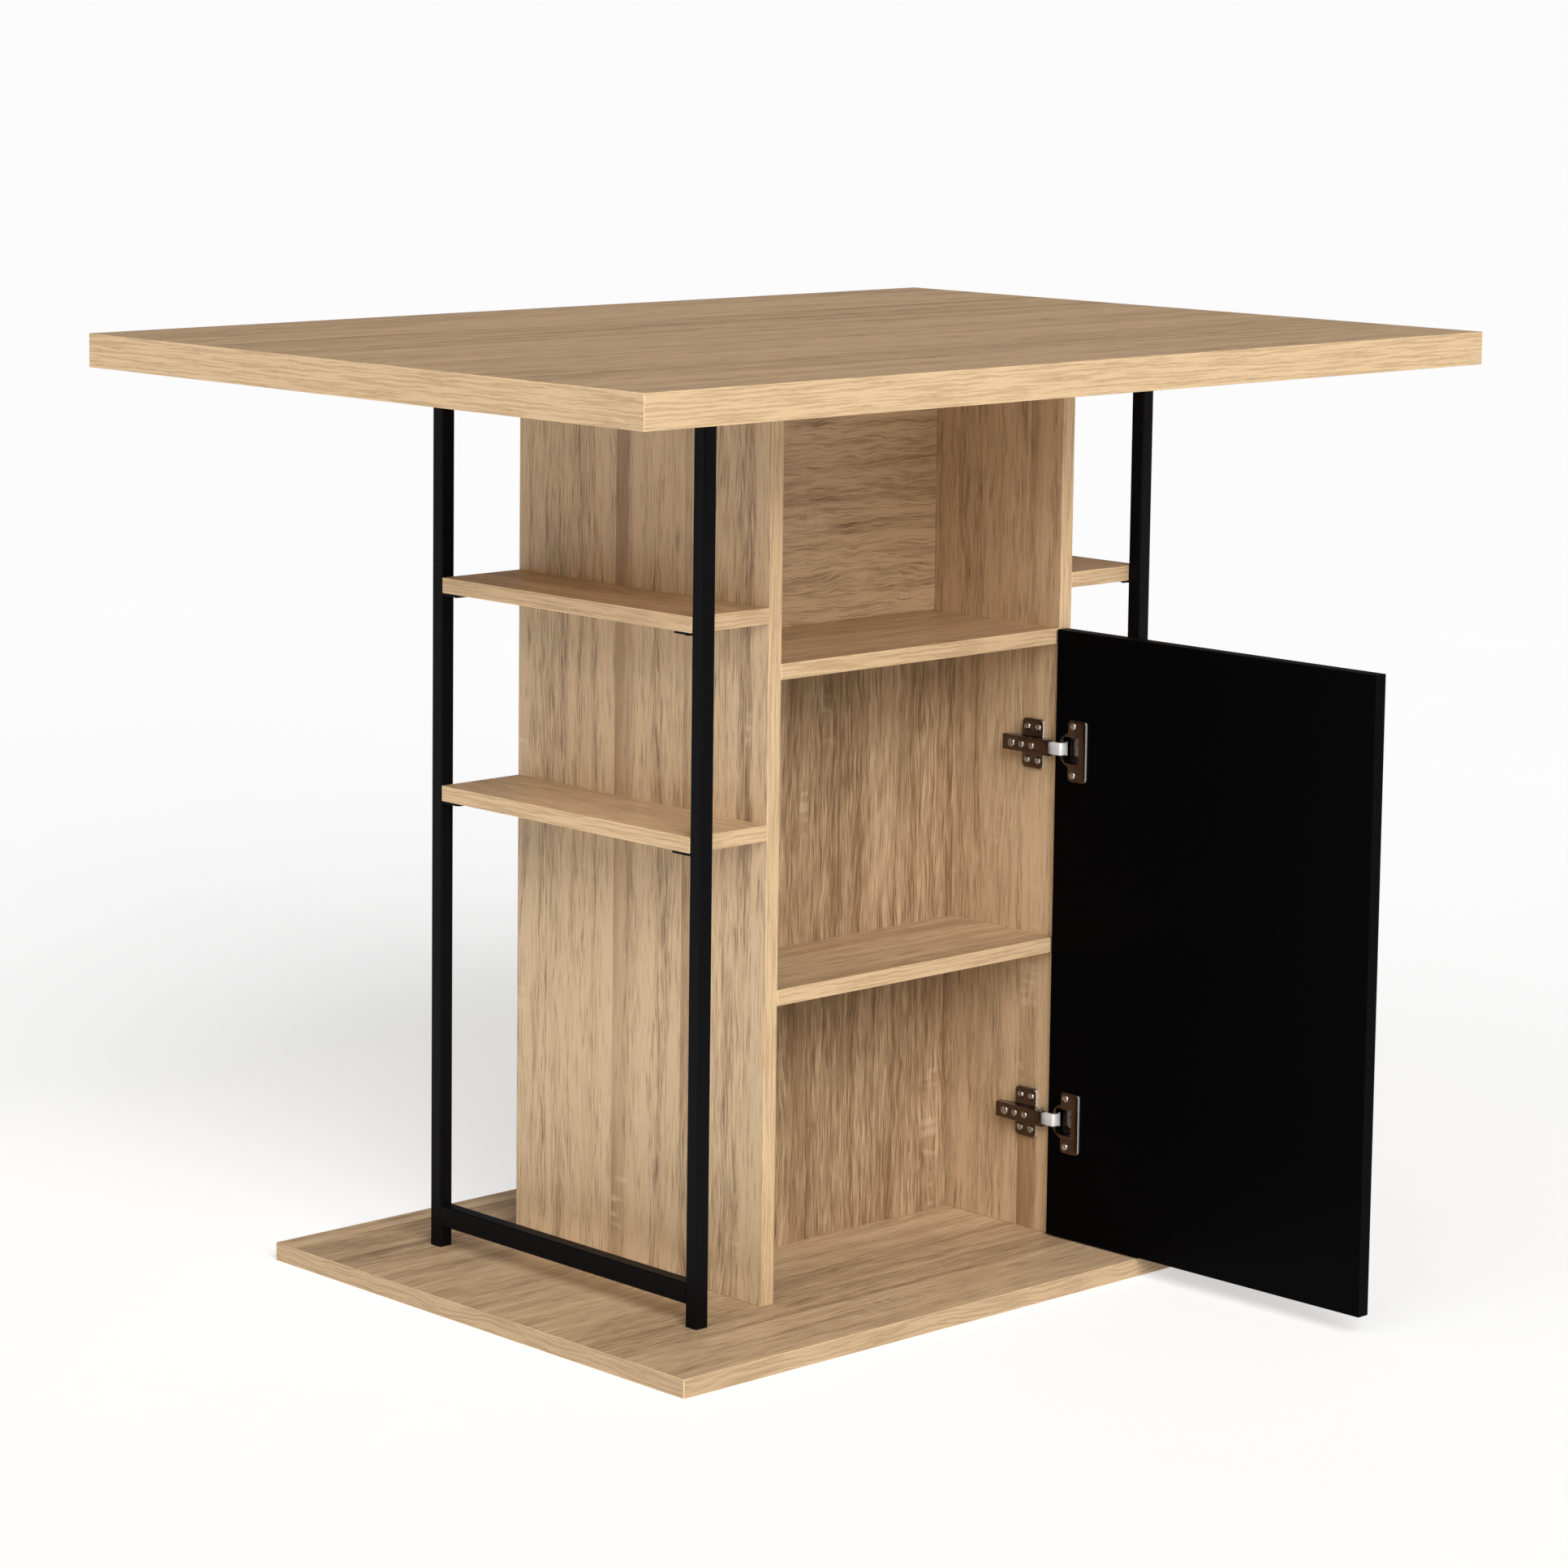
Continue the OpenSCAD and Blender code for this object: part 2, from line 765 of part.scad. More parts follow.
module hinge_links() {
  link_turn = link_ratio * (door_open - rest_open);
  color(bright) at_hinges() translate([arm_pin_off, arm_pin_back, 0]) rotate([0, 0, -link_turn])
    translate([-arm_pin_off, -arm_pin_back, 0]) hinge_link();
}

// The door's own frame: x is the distance from its hinge edge, y the
// depth behind its inner face and z the height above the floor
module on_door() {
  translate([pivot_x, pivot_y, 0]) rotate([0, 0, door_open]) translate([-pivot_x, -pivot_y, 0])
    translate([hinge_edge_x, door_face_y, 0]) rotate([0, 0, 180]) children();
}

module at_cups() {
  on_door() for (z = hinge_zs) {
    translate([0, 0, z]) children();
  }
}

// A flat outline in (x, z) on the door, from y0 to y1 in depth
module sunk(y0, y1) {
  translate([0, y1, 0]) rotate([90, 0, 0]) linear_extrude(y1 - y0) children();
}

// The cup's opening, narrower where the link passes the outer pin
module cup_mouth() {
  intersection() {
    circle(d = cup_d - 2 * cup_gap - 2 * cup_wall);
    union() {
      translate([cup_throat_s - cup_inset, -cup_mouth_h / 2])
        square([cup_mouth_end - cup_throat_s, cup_mouth_h]);
      translate([-cup_d / 2, -cup_throat_h / 2])
        square([cup_d / 2, cup_throat_h]);
    }
  }
}

module hinge_cups() {
  cup_depth = cup_bore_depth - cup_end_gap;
  color(nickel) at_cups() difference() {
    union() {
      translate([cup_inset, 0, 0]) sunk(-cup_rim_t, cup_depth) circle(d = cup_d - 2 * cup_gap);
      translate([flange_s0 + flange_w / 2, 0, 0]) sunk(-flange_t, 0)
        rounded_rect(flange_w, flange_h, flange_r);
    }
    translate([cup_inset, 0, 0]) sunk(-flange_t - cut, cup_depth - cup_floor_t) cup_mouth();
    for (w = [-1, 1] * cup_screw_pitch / 2) {
      translate([cup_screw_s, 0, w]) sunk(-flange_t - cut, cut) circle(d = cup_screw_d + 2 * fixed_gap);
    }
    cup_pin(cup_pin_s, cup_pin_deep, fixed_gap);
    cup_pin(spring_s, spring_deep, fixed_gap);
  }
}

// Half the cup's outer height at the far side of a pin that stands at a distance s from the hinge edge
function cup_half(s) = sqrt(pow(cup_d / 2 - cup_gap, 2) - pow(abs(s - cup_inset) + cup_pin_d / 2, 2));

// A pin across the cup, grown by gap for its hole
module cup_pin(s, deep, gap) {
  half = min(cup_mouth_h / 2 + cup_pin_bite, cup_half(s) - cup_pin_end) + gap;
  translate([s, deep, -half]) cylinder(d = cup_pin_d + 2 * gap, h = 2 * half);
}

module hinge_cup_pins() {
  color(bright) at_cups() {
    cup_pin(cup_pin_s, cup_pin_deep, 0);
    cup_pin(spring_s, spring_deep, 0);
  }
}

// The closing spring's coil on the inner pin of each cup
module hinge_springs() {
  color(nickel) at_cups() translate([spring_s, spring_deep, -spring_h / 2]) difference() {
    cylinder(r = spring_r, h = spring_h);
    hole(cup_pin_d, -cut, spring_h + cut);
  }
}

// Places of the cup screws, +Z pointing out of the door's inner face
module at_cup_screws() {
  at_cups() for (w = [-1, 1] * cup_screw_pitch / 2) {
    translate([cup_screw_s, -flange_t, w]) rotate([90, 0, 0]) children();
  }
}

module hinge_cup_screws() {
  color(bright) at_cup_screws()
    pan_screw(cup_screw_head_d, cup_screw_head_h, cup_screw_d, flange_t + cup_screw_in_door);
}

module door() {
  color(black) difference() {
    on_door() board([0, 0, door_z0], [door_w, door_t, door_z1]);
    at_cups() translate([cup_inset, 0, 0]) sunk(-cut, cup_bore_depth) circle(d = cup_d);
    at_cup_screws() hole(cup_screw_d, -flange_t - cup_screw_in_door, 0);
  }
}

tabletop();
base_plate();
side_panel(-1);  // left_side_panel
side_panel(1);  // right_side_panel
niche_shelf();
middle_shelf();
niche_back_panel();
lower_back_panel();
side_shelf(-1, upper_shelf_z);  // left_upper_shelf
side_shelf(-1, lower_shelf_z);  // left_lower_shelf
side_shelf(1, upper_shelf_z);  // right_upper_shelf
side_shelf(1, lower_shelf_z);  // right_lower_shelf
post(-1, -1);  // left_front_post
post(-1, 1);  // left_rear_post
post(1, -1);  // right_front_post
post(1, 1);  // right_rear_post
bottom_rail(-1);  // left_bottom_rail
bottom_rail(1);  // right_bottom_rail
top_rail(-1);  // left_top_rail
top_rail(1);  // right_top_rail
shelf_tabs(-1);  // left_shelf_tabs
shelf_tabs(1);  // right_shelf_tabs
shelf_tab_screws();
post_foot_bolts();
top_rail_screws();
panel_foot_screws();
dowels();
cam_bolts();
cam_locks();
hinge_mounting_plates();
hinge_plate_screws();
hinge_arms();
hinge_arm_screws();
hinge_arm_pins();
hinge_links();
hinge_cups();
hinge_cup_pins();
hinge_springs();
hinge_cup_screws();
door();
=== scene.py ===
"""The looks of a kitchen island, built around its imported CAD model.

A wooden cabinet with an open niche above a cupboard, two shelves on each
side held by black steel frames, a wide tabletop, a base plate and a black
door on two concealed hinges. All sizes are in metres, +Z is up and the door
side faces -Y.
"""

import math
import random
from collections import namedtuple

import bmesh
import bpy
from mathutils import Matrix, Vector


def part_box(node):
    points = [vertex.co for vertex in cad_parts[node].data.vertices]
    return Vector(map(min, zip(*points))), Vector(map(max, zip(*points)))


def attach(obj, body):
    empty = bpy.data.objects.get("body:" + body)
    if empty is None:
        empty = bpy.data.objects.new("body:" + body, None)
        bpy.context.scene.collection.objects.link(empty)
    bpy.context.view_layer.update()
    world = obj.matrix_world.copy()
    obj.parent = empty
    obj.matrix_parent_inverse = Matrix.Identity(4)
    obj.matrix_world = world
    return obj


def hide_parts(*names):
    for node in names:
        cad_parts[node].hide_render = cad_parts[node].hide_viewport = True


bl_info = {
    "name": "Kitchen island",
    "version": (1, 0, 0),
    "blender": (4, 5, 0),
    "location": "3D View > Sidebar > Kitchen island",
    "description": "Builds the looks of a kitchen island around its CAD model",
    "category": "Object",
}

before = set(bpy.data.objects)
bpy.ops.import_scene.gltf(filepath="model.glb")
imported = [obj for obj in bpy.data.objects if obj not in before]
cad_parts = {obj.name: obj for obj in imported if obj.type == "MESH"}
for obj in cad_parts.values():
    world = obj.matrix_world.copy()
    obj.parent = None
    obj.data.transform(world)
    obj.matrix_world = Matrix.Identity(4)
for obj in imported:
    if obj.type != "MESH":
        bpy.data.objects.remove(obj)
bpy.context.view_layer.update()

X, Y, Z = 0, 1, 2
WHITE = (1, 1, 1, 1)

# Every board: the axis its grain follows, and its decor
BOARDS = {
    "tabletop": (X, "top"),
    "base_plate": (X, "base"),
    "left_side_panel": (Z, "left upright"),
    "right_side_panel": (Z, "upright"),
    "niche_shelf": (X, "shelf"),
    "middle_shelf": (X, "shelf"),
    "niche_back_panel": (X, "rippled"),
    # the lower back panel gets a decor that is darkened as painted shade
    "lower_back_panel": (Z, "lower back"),
    "left_upper_shelf": (Y, "shelf"),
    "left_lower_shelf": (Y, "shelf"),
    "right_upper_shelf": (Y, "shelf"),
    "right_lower_shelf": (Y, "shelf"),
}
# Where a board's strips start across its grain, in metres; chance picks the others,
# from 0 to the latest start
STRIP_STARTS = {"left_side_panel": 0.130, "right_side_panel": -0.036, "tabletop": 0.02}
LATEST_START = 0.09
# How far chance may move the pattern on a side of a board, in metres
PATTERN_SHIFT = 9

STEEL_TUBES = [
    "left_front_post",
    "left_rear_post",
    "right_front_post",
    "right_rear_post",
    "left_bottom_rail",
    "right_bottom_rail",
    "left_top_rail",
    "right_top_rail",
    "left_shelf_tabs",
    "right_shelf_tabs",
]

# Every group of screws that is made again: body, direction its heads face,
# head diameter, head height, shank diameter, finish
SCREWS = {
    "hinge_plate_screws": ("carcase", (-1, 0, 0), 0.0076, 0.0018, 0.0035, "screw"),
    "hinge_arm_screws": ("carcase", (-1, 0, 0), 0.0070, 0.0016, 0.0045, "screw"),
    "hinge_cup_screws": ("door", (-1, 0, 0), 0.0074, 0.0018, 0.0035, "screw"),
    "shelf_tab_screws": ("carcase", (0, 0, -1), 0.0070, 0.0022, 0.0035, "black screw"),
    "top_rail_screws": ("carcase", (0, 0, -1), 0.0090, 0.0026, 0.0045, "black screw"),
}

# Every stamped part of the hinges: body, finish, slot, and how far back from its
# front its cut rims get a painted highlight
HINGE_PARTS = {
    "hinge_mounting_plates": ("carcase", "nickel", "hinge_nickel", 0.05),
    "hinge_arms": ("carcase", "nickel", "hinge_nickel", None),
    "hinge_links": ("hinge_links", "bright", "hinge_bright", None),
    "hinge_cups": ("door", "nickel", "hinge_nickel", 0.002),
}

# Vertices of a CAD mesh that are closer than this are one, in metres
WELD = 1e-6
# Faces of a CAD mesh that turn by less than this are one flat face, in degrees
FLAT_TURN = 0.5
# How near to a side of a board's box a point lies on it, in metres: a point of the
# CAD mesh, and the middle of a face that rounds an edge
ON_SIDE = 1e-5
ON_ROUNDING = 0.0012
# How squarely a face looks along an axis to count as flat, and how much a rounding
# leans over to the board's broad faces to count as part of the edge band
SQUARE = 0.999
LEANING = 0.3
# Edges that turn by more than these are rounded, in degrees, and on the door only
# the ones that are longer than a length in metres
DOOR_TURN, DOOR_SHORTEST = 60, 0.02
HINGE_TURN = 35
# A rim of a hinge's stamping that gets the painted highlight looks at least this
# squarely to the front, -Y
RIM_FRONT = -0.7
# Edges that turn by more than these are shaded sharp, in degrees
HINGE_SHARP = 30
SCREW_SHARP = 35

# The shape of a screw: reach of its cross recess as a share of the head's width,
# depth of the recess as a share of the head's height, width of the recess in metres,
# and how far the shank goes into the head
RECESS_REACH = 0.58
RECESS_DEPTH = 1.1
RECESS_WIDTH = 0.0011
SHANK_OVERLAP = 0.0002

# One kind of mark in the oak patterns: its length along the grain and width across
# it in metres, the seed and detail of its noise, the levels between which it fades
# in from 0 to 1 (without them it runs from -0.5 to 0.5), and how much it darkens,
# or lightens where that is below 0
Mark = namedtuple("Mark", "length width seed detail edge dark", defaults=(2.0, None, 0.0))

OAK_MARKS = {
    "bend": Mark(0.22, 0.05, 3.0),
    "sway": Mark(0.032, 0.030, 23.0),
    "broad": Mark(0.70, 0.026, 11.0, dark=1.2),
    "rings": Mark(0.26, 0.0070, 7.0, 3.0, dark=1.0),
    "haze": Mark(0.090, 0.012, 61.0, dark=0.7),
    "fibre": Mark(0.040, 0.0015, 17.0, 3.0, dark=1.9),
    "dashes": Mark(0.026, 0.0010, 19.0, 1.0, (0.56, 0.70), 0.32),
    "pale": Mark(0.030, 0.0012, 53.0, 1.0, (0.58, 0.72), -0.30),
    "patch": Mark(0.13, 0.07, 31.0, edge=(0.36, 0.56)),
    "ripples": Mark(0.050, 0.0032, 29.0, edge=(0.46, 0.66), dark=0.20),
    "saw patch": Mark(0.16, 0.045, 41.0, edge=(0.62, 0.70)),
    "saw": Mark(0.0075, 0.060, 43.0, 0.0, (0.52, 0.66)),
    "heart patch": Mark(0.5, 0.5, 37.0, edge=(0.36, 0.60)),
}
BAND_MARKS = {
    "sway": Mark(0.026, 0.10, 3.0),
    "slope": Mark(0.16, 0.20, 13.0),
    "lines": Mark(0.08, 0.0022, 5.0, 1.0, (0.42, 0.60), 0.46),
    "fine": Mark(0.014, 0.0011, 7.0, dark=0.9),
    "cloud": Mark(0.15, 0.05, 11.0, dark=0.25),
}
# How far the marks of a strip are moved along and across, so that no two are alike
STRIP_JUMP = (11.0, 3.0)
# How far bend and sway push the marks aside, in metres; a figure of 1 adds the last
BEND_REACH = 0.022
SWAY_REACH = 0.0016
FIGURE_REACH = 0.0055
BAND_SWAY_REACH = 0.0036
# What every random choice in a material starts from
CHANCE_SEED = 0.37
# Heartwood: where it fades in across a strip, how much the broad marks shift that,
# which share of the strips has none, and the seed of that choice
HEART_EDGE = (0.62, 1.0)
HEART_SHIFT = 0.5
HEART_ODDS = (0.45, 0.55)
HEART_SEED = 5.0
# The seams between strips: where they start, as a share of the way from the middle
# of a strip, and how pale they are
SEAM_EDGE = (0.985, 0.998)
SEAM_SHARE = 0.15
PALE_OAK = (0.80, 0.64, 0.46, 1)

# The oak decors: strength of the ripples, contrast of the grain, how much the strips
# differ, how red the heartwood is, how dark it all is and how pale the saw marks are
OAK_DECORS = {
    "top": dict(
        name="oak_top",
        figure=0.15,
        contrast=0.90,
        tones=0.20,
        heart=0.35,
        depth=0.16,
        saws=0.0,
        tint=(1.07, 1.0, 0.93, 1),
    ),
    "base": dict(
        name="oak_base", figure=0.45, contrast=0.85, tones=0.34, heart=0.35, depth=0.30
    ),
    "upright": dict(
        name="oak_upright",
        figure=0.45,
        contrast=1.0,
        tones=0.26,
        heart=0.85,
        depth=0.16,
        saws=0.38,
    ),
    "left upright": dict(
        name="oak_left_upright",
        figure=0.45,
        contrast=1.25,
        tones=0.26,
        heart=0.85,
        depth=0.12,
        saws=0.38,
        tint=(1.02, 1.03, 1.03, 1),
    ),
    # darker all over: painted shade of the inside of the cupboard under the niche shelf
    "lower back": dict(
        name="oak_lower_back", figure=0.45, contrast=0.95, tones=0.24, heart=0.30, depth=0.66
    ),
    "shelf": dict(name="oak_shelf", figure=0.30, contrast=0.70, tones=0.16, heart=0.3),
    "rippled": dict(
        name="oak_rippled", figure=1.2, contrast=0.95, tones=0.16, heart=0.3, depth=0.12
    ),
}

# Specks of the other finishes: about how many lie on a metre along x, y and z
SPECKS = {
    "chips": (420.0, 420.0, 420.0),
    "coat cloud": (9.0, 9.0, 9.0),
    "rolling": (2600.0, 260.0, 2600.0),
    "mottle": (240.0, 240.0, 240.0),
    "beech": (300.0, 900.0, 900.0),
    "floor cloud": (3.0, 3.0, 0.0),
}
# How many times as light the pearls of a coat and the mottle of plating are
PEARL_SHADE = 1.9
MOTTLE_SHADE = 0.62

# The camera: focal length and principal point in pixels of the photograph,
# its place in metres and its turns in degrees
PHOTO_WIDTH = 1932
FOCAL = 5709.1
PRINCIPAL = (800.0, 680.0)
CAMERA_PLACE = (-3.08555, -3.17610, 1.24069)
CAMERA_YAW, CAMERA_PITCH, CAMERA_ROLL = -42.34, -7.13, -0.50
SENSOR = 36.0

# The soft lights: name, azimuth (0 is the front and -90 the left side), height and
# spread in degrees, and strength
LIGHTS = (
    ("front light", -26, 33, 40, 2.8),
    ("left light", -80, 38, 40, 0.6),
)
# The surroundings: strength at the horizon, how much dimmer the ceiling is, and the
# heights of the line of sight between which it dims
HORIZON_LIGHT = 0.97
CEILING_DROP = 0.83
CEILING_EDGE = (0.01, 0.08)
# The floor: radius in metres, the paler tone of its clouds and the strength of its glow
FLOOR_RADIUS = 2000.0
FLOOR_CLOUD = 0.62
FLOOR_GLOW = 0.53


class IslandSizes(bpy.types.PropertyGroup):
    """Sizes that the looks are built with."""

    edge_radius: bpy.props.FloatProperty(
        name="Edge radius",
        description="How far the edges of the boards are rounded",
        default=0.0007,
        min=0.0,
        unit="LENGTH",
    )
    door_radius: bpy.props.FloatProperty(
        name="Door edge radius",
        description="How far the edges of the door are rounded",
        default=0.0008,
        min=0.0,
        unit="LENGTH",
    )
    hinge_radius: bpy.props.FloatProperty(
        name="Hinge edge radius",
        description="How far the stamped edges of the hinges are rounded",
        default=0.00045,
        min=0.0,
        unit="LENGTH",
    )
    strip_width: bpy.props.FloatProperty(
        name="Strip width",
        description="Width of the printed strips of the oak decor",
        default=0.095,
        min=0.01,
        unit="LENGTH",
    )
    spring_wire: bpy.props.FloatProperty(
        name="Spring wire",
        description="Diameter of the wire of the closing springs",
        default=0.0011,
        min=0.0002,
        unit="LENGTH",
    )
    spring_turns: bpy.props.IntProperty(
        name="Spring turns",
        description="Number of turns of a closing spring",
        default=8,
        min=2,
    )


class IslandColours(bpy.types.PropertyGroup):
    """Colours that the finishes are mixed from, linear."""

    oak_light: bpy.props.FloatVectorProperty(
        name="Light oak",
        description="The lightest tone of the oak decor",
        subtype="COLOR",
        size=4,
        default=(0.67, 0.478, 0.288, 1),
    )
    oak_dark: bpy.props.FloatVectorProperty(
        name="Dark oak",
        description="The darkest tone of the oak decor",
        subtype="COLOR",
        size=4,
        default=(0.20, 0.112, 0.053, 1),
    )
    oak_red: bpy.props.FloatVectorProperty(
        name="Heartwood",
        description="The red brown streaks of the oak decor",
        subtype="COLOR",
        size=4,
        default=(0.26, 0.135, 0.055, 1),
    )
    band: bpy.props.FloatVectorProperty(
        name="Edge band",
        description="The light tone of the edge bands",
        subtype="COLOR",
        size=4,
        default=(0.68, 0.478, 0.276, 1),
    )
    band_pores: bpy.props.FloatVectorProperty(
        name="Edge band pores",
        description="The darker pores in the edge bands",
        subtype="COLOR",
        size=4,
        default=(0.36, 0.225, 0.112, 1),
    )
    steel: bpy.props.FloatVectorProperty(
        name="Steel frames",
        description="The powder coat of the steel frames",
        subtype="COLOR",
        size=4,
        default=(0.0022, 0.0022, 0.0026, 1),
    )
    door: bpy.props.FloatVectorProperty(
        name="Door",
        description="The black laminate of the door",
        subtype="COLOR",
        size=4,
        default=(0.0010, 0.0010, 0.0012, 1),
    )
    nickel: bpy.props.FloatVectorProperty(
        name="Nickel",
        description="The plated steel of the hinges",
        subtype="COLOR",
        size=4,
        default=(0.15, 0.115, 0.10, 1),
    )
    bright: bpy.props.FloatVectorProperty(
        name="Bright steel",
        description="The links of the hinges",
        subtype="COLOR",
        size=4,
        default=(0.92, 0.92, 0.91, 1),
    )
    floor: bpy.props.FloatVectorProperty(
        name="Floor",
        description="The pale floor",
        subtype="COLOR",
        size=4,
        default=(0.60, 0.60, 0.60, 1),
    )


class Wire:
    """An output socket; arithmetic on it adds Math nodes to its tree."""

    def __init__(self, graph, socket):
        self.graph = graph
        self.socket = socket

    def __add__(self, other):
        return self.graph.maths("ADD", self, other)

    def __radd__(self, other):
        return self.graph.maths("ADD", other, self)

    def __sub__(self, other):
        return self.graph.maths("SUBTRACT", self, other)

    def __rsub__(self, other):
        return self.graph.maths("SUBTRACT", other, self)

    def __mul__(self, other):
        return self.graph.maths("MULTIPLY", self, other)

    def __rmul__(self, other):
        return self.graph.maths("MULTIPLY", other, self)

    def __truediv__(self, other):
        return self.graph.maths("DIVIDE", self, other)

    def __rtruediv__(self, other):
        return self.graph.maths("DIVIDE", other, self)


class Graph:
    """A node tree that is written as expressions."""

    def __init__(self, tree):
        self.tree = tree

    def node(self, kind, settings=None, sockets=None, out=0):
        """Adds a node with its settings and sockets, and gives one of its outputs."""
        made = self.tree.nodes.new(kind)
        for key, value in (settings or {}).items():
            setattr(made, key, value)
        for key, value in (sockets or {}).items():
            self.feed(pick(made.inputs, key), value)
        return Wire(self, pick(made.outputs, out)) if made.outputs else None

    def feed(self, socket, value):
        """Links a wire into a socket, or sets the socket's own value."""
        for one in value if isinstance(value, list) else [value]:
            if isinstance(one, Wire):
                self.tree.links.new(one.socket, socket)
            else:
                socket.default_value = one

    def maths(self, operation, *values, clamp=False):
        """One Math node."""
        settings = {"operation": operation, "use_clamp": clamp}
        return self.node("ShaderNodeMath", settings, dict(enumerate(values)))

    def vector(self, x, y, z):
        """Three numbers as one vector."""
        return self.node("ShaderNodeCombineXYZ", None, {0: x, 1: y, 2: z})

    def part(self, vector, axis):
        """One number of a vector."""
        return self.node("ShaderNodeSeparateXYZ", None, {0: vector}, out=axis)

    def noise(self, x, y, z=0.0, detail=2.0):
        """Smooth noise from 0 to 1 whose features are about one unit wide."""
        sockets = {"Vector": self.vector(x, y, z), "Scale": 1.0, "Detail": detail, "Roughness": 0.5}
        return self.node("ShaderNodeTexNoise", {"noise_dimensions": "3D"}, sockets)

    def ramp(self, value, low, high):
        """Rises smoothly from 0 at low to 1 at high."""
        settings = {"interpolation_type": "SMOOTHSTEP"}
        sockets = {"Value": value, "From Min": low, "From Max": high}
        return self.node("ShaderNodeMapRange", settings, sockets)

    def blend(self, share, first, second, how="MIX"):
        """Mixes two colours."""
        settings = {"data_type": "RGBA", "blend_type": how, "clamp_factor": True}
        sockets = {"Factor": share, "A": first, "B": second}
        return self.node("ShaderNodeMix", settings, sockets, out="Result")


def pick(sockets, key):
    """The socket with that number, or the first one in use with that name."""
    if isinstance(key, int):
        return sockets[key]
    return next(s for s in sockets if s.name == key and s.enabled)


def sizes():
    """The sizes that the scene holds."""
    return bpy.context.scene.island_sizes


def colours():
    """The colours that the scene holds."""
    return bpy.context.scene.island_colours


def colour_of(name):
    """One of the scene's colours, as plain numbers."""
    return tuple(getattr(colours(), name))


def grey(value):
    """A grey of that brightness."""
    return (value, value, value, 1)


def shaded(colour, share):
    """A colour times a share, and no brighter than 1."""
    return tuple(min(1.0, part * share) for part in colour[:3]) + (1,)


def new_finish(name):
    """A material with an empty tree, and the graph to write it in."""
    material = bpy.data.materials.new(name)
    material.use_nodes = True
    material.node_tree.nodes.clear()
    return material, Graph(material.node_tree)


def surface(graph, colour, roughness, height, bump, **constants):
    """Ends a material: its colour, roughness and height, the strength and depth of
    its bump, and the numbers that are the same all over."""
    settings = {"Strength": bump[0], "Distance": bump[1], "Height": height}
    normal = graph.node("ShaderNodeBump", None, settings)
    sockets = {"Base Color": colour, "Roughness": roughness, "Normal": normal}
    for key, value in constants.items():
        sockets[key.replace("_", " ")] = value
    shader = graph.node("ShaderNodeBsdfPrincipled", None, sockets)
    graph.node("ShaderNodeOutputMaterial", None, {"Surface": shader})


def grain_place(graph):
    """The place along and across the grain, in metres."""
    uv = graph.node("ShaderNodeUVMap", {"uv_map": "grain"})
    return graph.part(uv, 0), graph.part(uv, 1)


def chance(graph, x, y=0.0):
    """A random number from 0 to 1 for each whole x and y."""
    place = graph.vector(x, y, CHANCE_SEED)
    return graph.node("ShaderNodeTexWhiteNoise", {"noise_dimensions": "3D"}, {"Vector": place})


def draw(graph, mark, u, v):
    """One kind of mark, drawn out along the grain."""
    noise = graph.noise(u / mark.length, v / mark.width, mark.seed, mark.detail)
    return graph.ramp(noise, *mark.edge) if mark.edge else noise - 0.5


def oak_decor(name, figure, contrast, tones, heart, depth=0.34, saws=0.2, tint=WHITE):
    """Printed oak: strips of different tone, heartwood, rings, fibres, ripples and saw marks."""
    material, g = new_finish(name)
    u, v = grain_place(g)
    width = sizes().strip_width
    strip = g.maths("FLOOR", v / width)
    across = v / width - strip
    luck = chance(g, strip)
    u = u + luck * STRIP_JUMP[0]
    v = v + luck * STRIP_JUMP[1]

    def mark(kind, over):
        return draw(g, OAK_MARKS[kind], u, over)

    bent = v + mark("bend", v) * BEND_REACH
    wavy = bent + mark("sway", v) * (SWAY_REACH + FIGURE_REACH * figure)
    broad = mark("broad", bent)
    fibre = mark("fibre", wavy)
    dashes = mark("dashes", wavy)
    ripples = mark("ripples", wavy) * mark("patch", v)
    saw = mark("saw", v) * mark("saw patch", v)
    grain = {"rings": mark("rings", wavy), "broad": broad, "haze": mark("haze", wavy)}
    grain.update({"fibre": fibre, "dashes": dashes, "pale": mark("pale", wavy)})
    dark = depth + (luck - 0.5) * tones
    for kind, wire in grain.items():
        dark = dark + wire * (contrast * OAK_MARKS[kind].dark)
    dark = g.maths("ADD", dark, ripples * (figure * OAK_MARKS["ripples"].dark), clamp=True)
    core = g.ramp(across + broad * HEART_SHIFT, *HEART_EDGE)
    core = core * g.ramp(chance(g, strip, HEART_SEED), *HEART_ODDS) * mark("heart patch", v)
    seam = g.ramp(g.maths("ABSOLUTE", across - 0.5) * 2.0, *SEAM_EDGE)
    base = g.blend(dark, colour_of("oak_light"), colour_of("oak_dark"))
    base = g.blend(core * heart, base, colour_of("oak_red"))
    base = g.blend(saw * saws + seam * SEAM_SHARE, base, PALE_OAK)
    base = g.blend(1.0, base, tint, "MULTIPLY")
    rough = 0.40 + fibre * 0.25 + ripples * 0.12
    height = fibre * 0.5 - dashes * 0.5 - ripples * figure - seam * 0.4
    surface(g, base, rough, height, (0.35, 0.0003), Specular_IOR_Level=0.38)
    return material


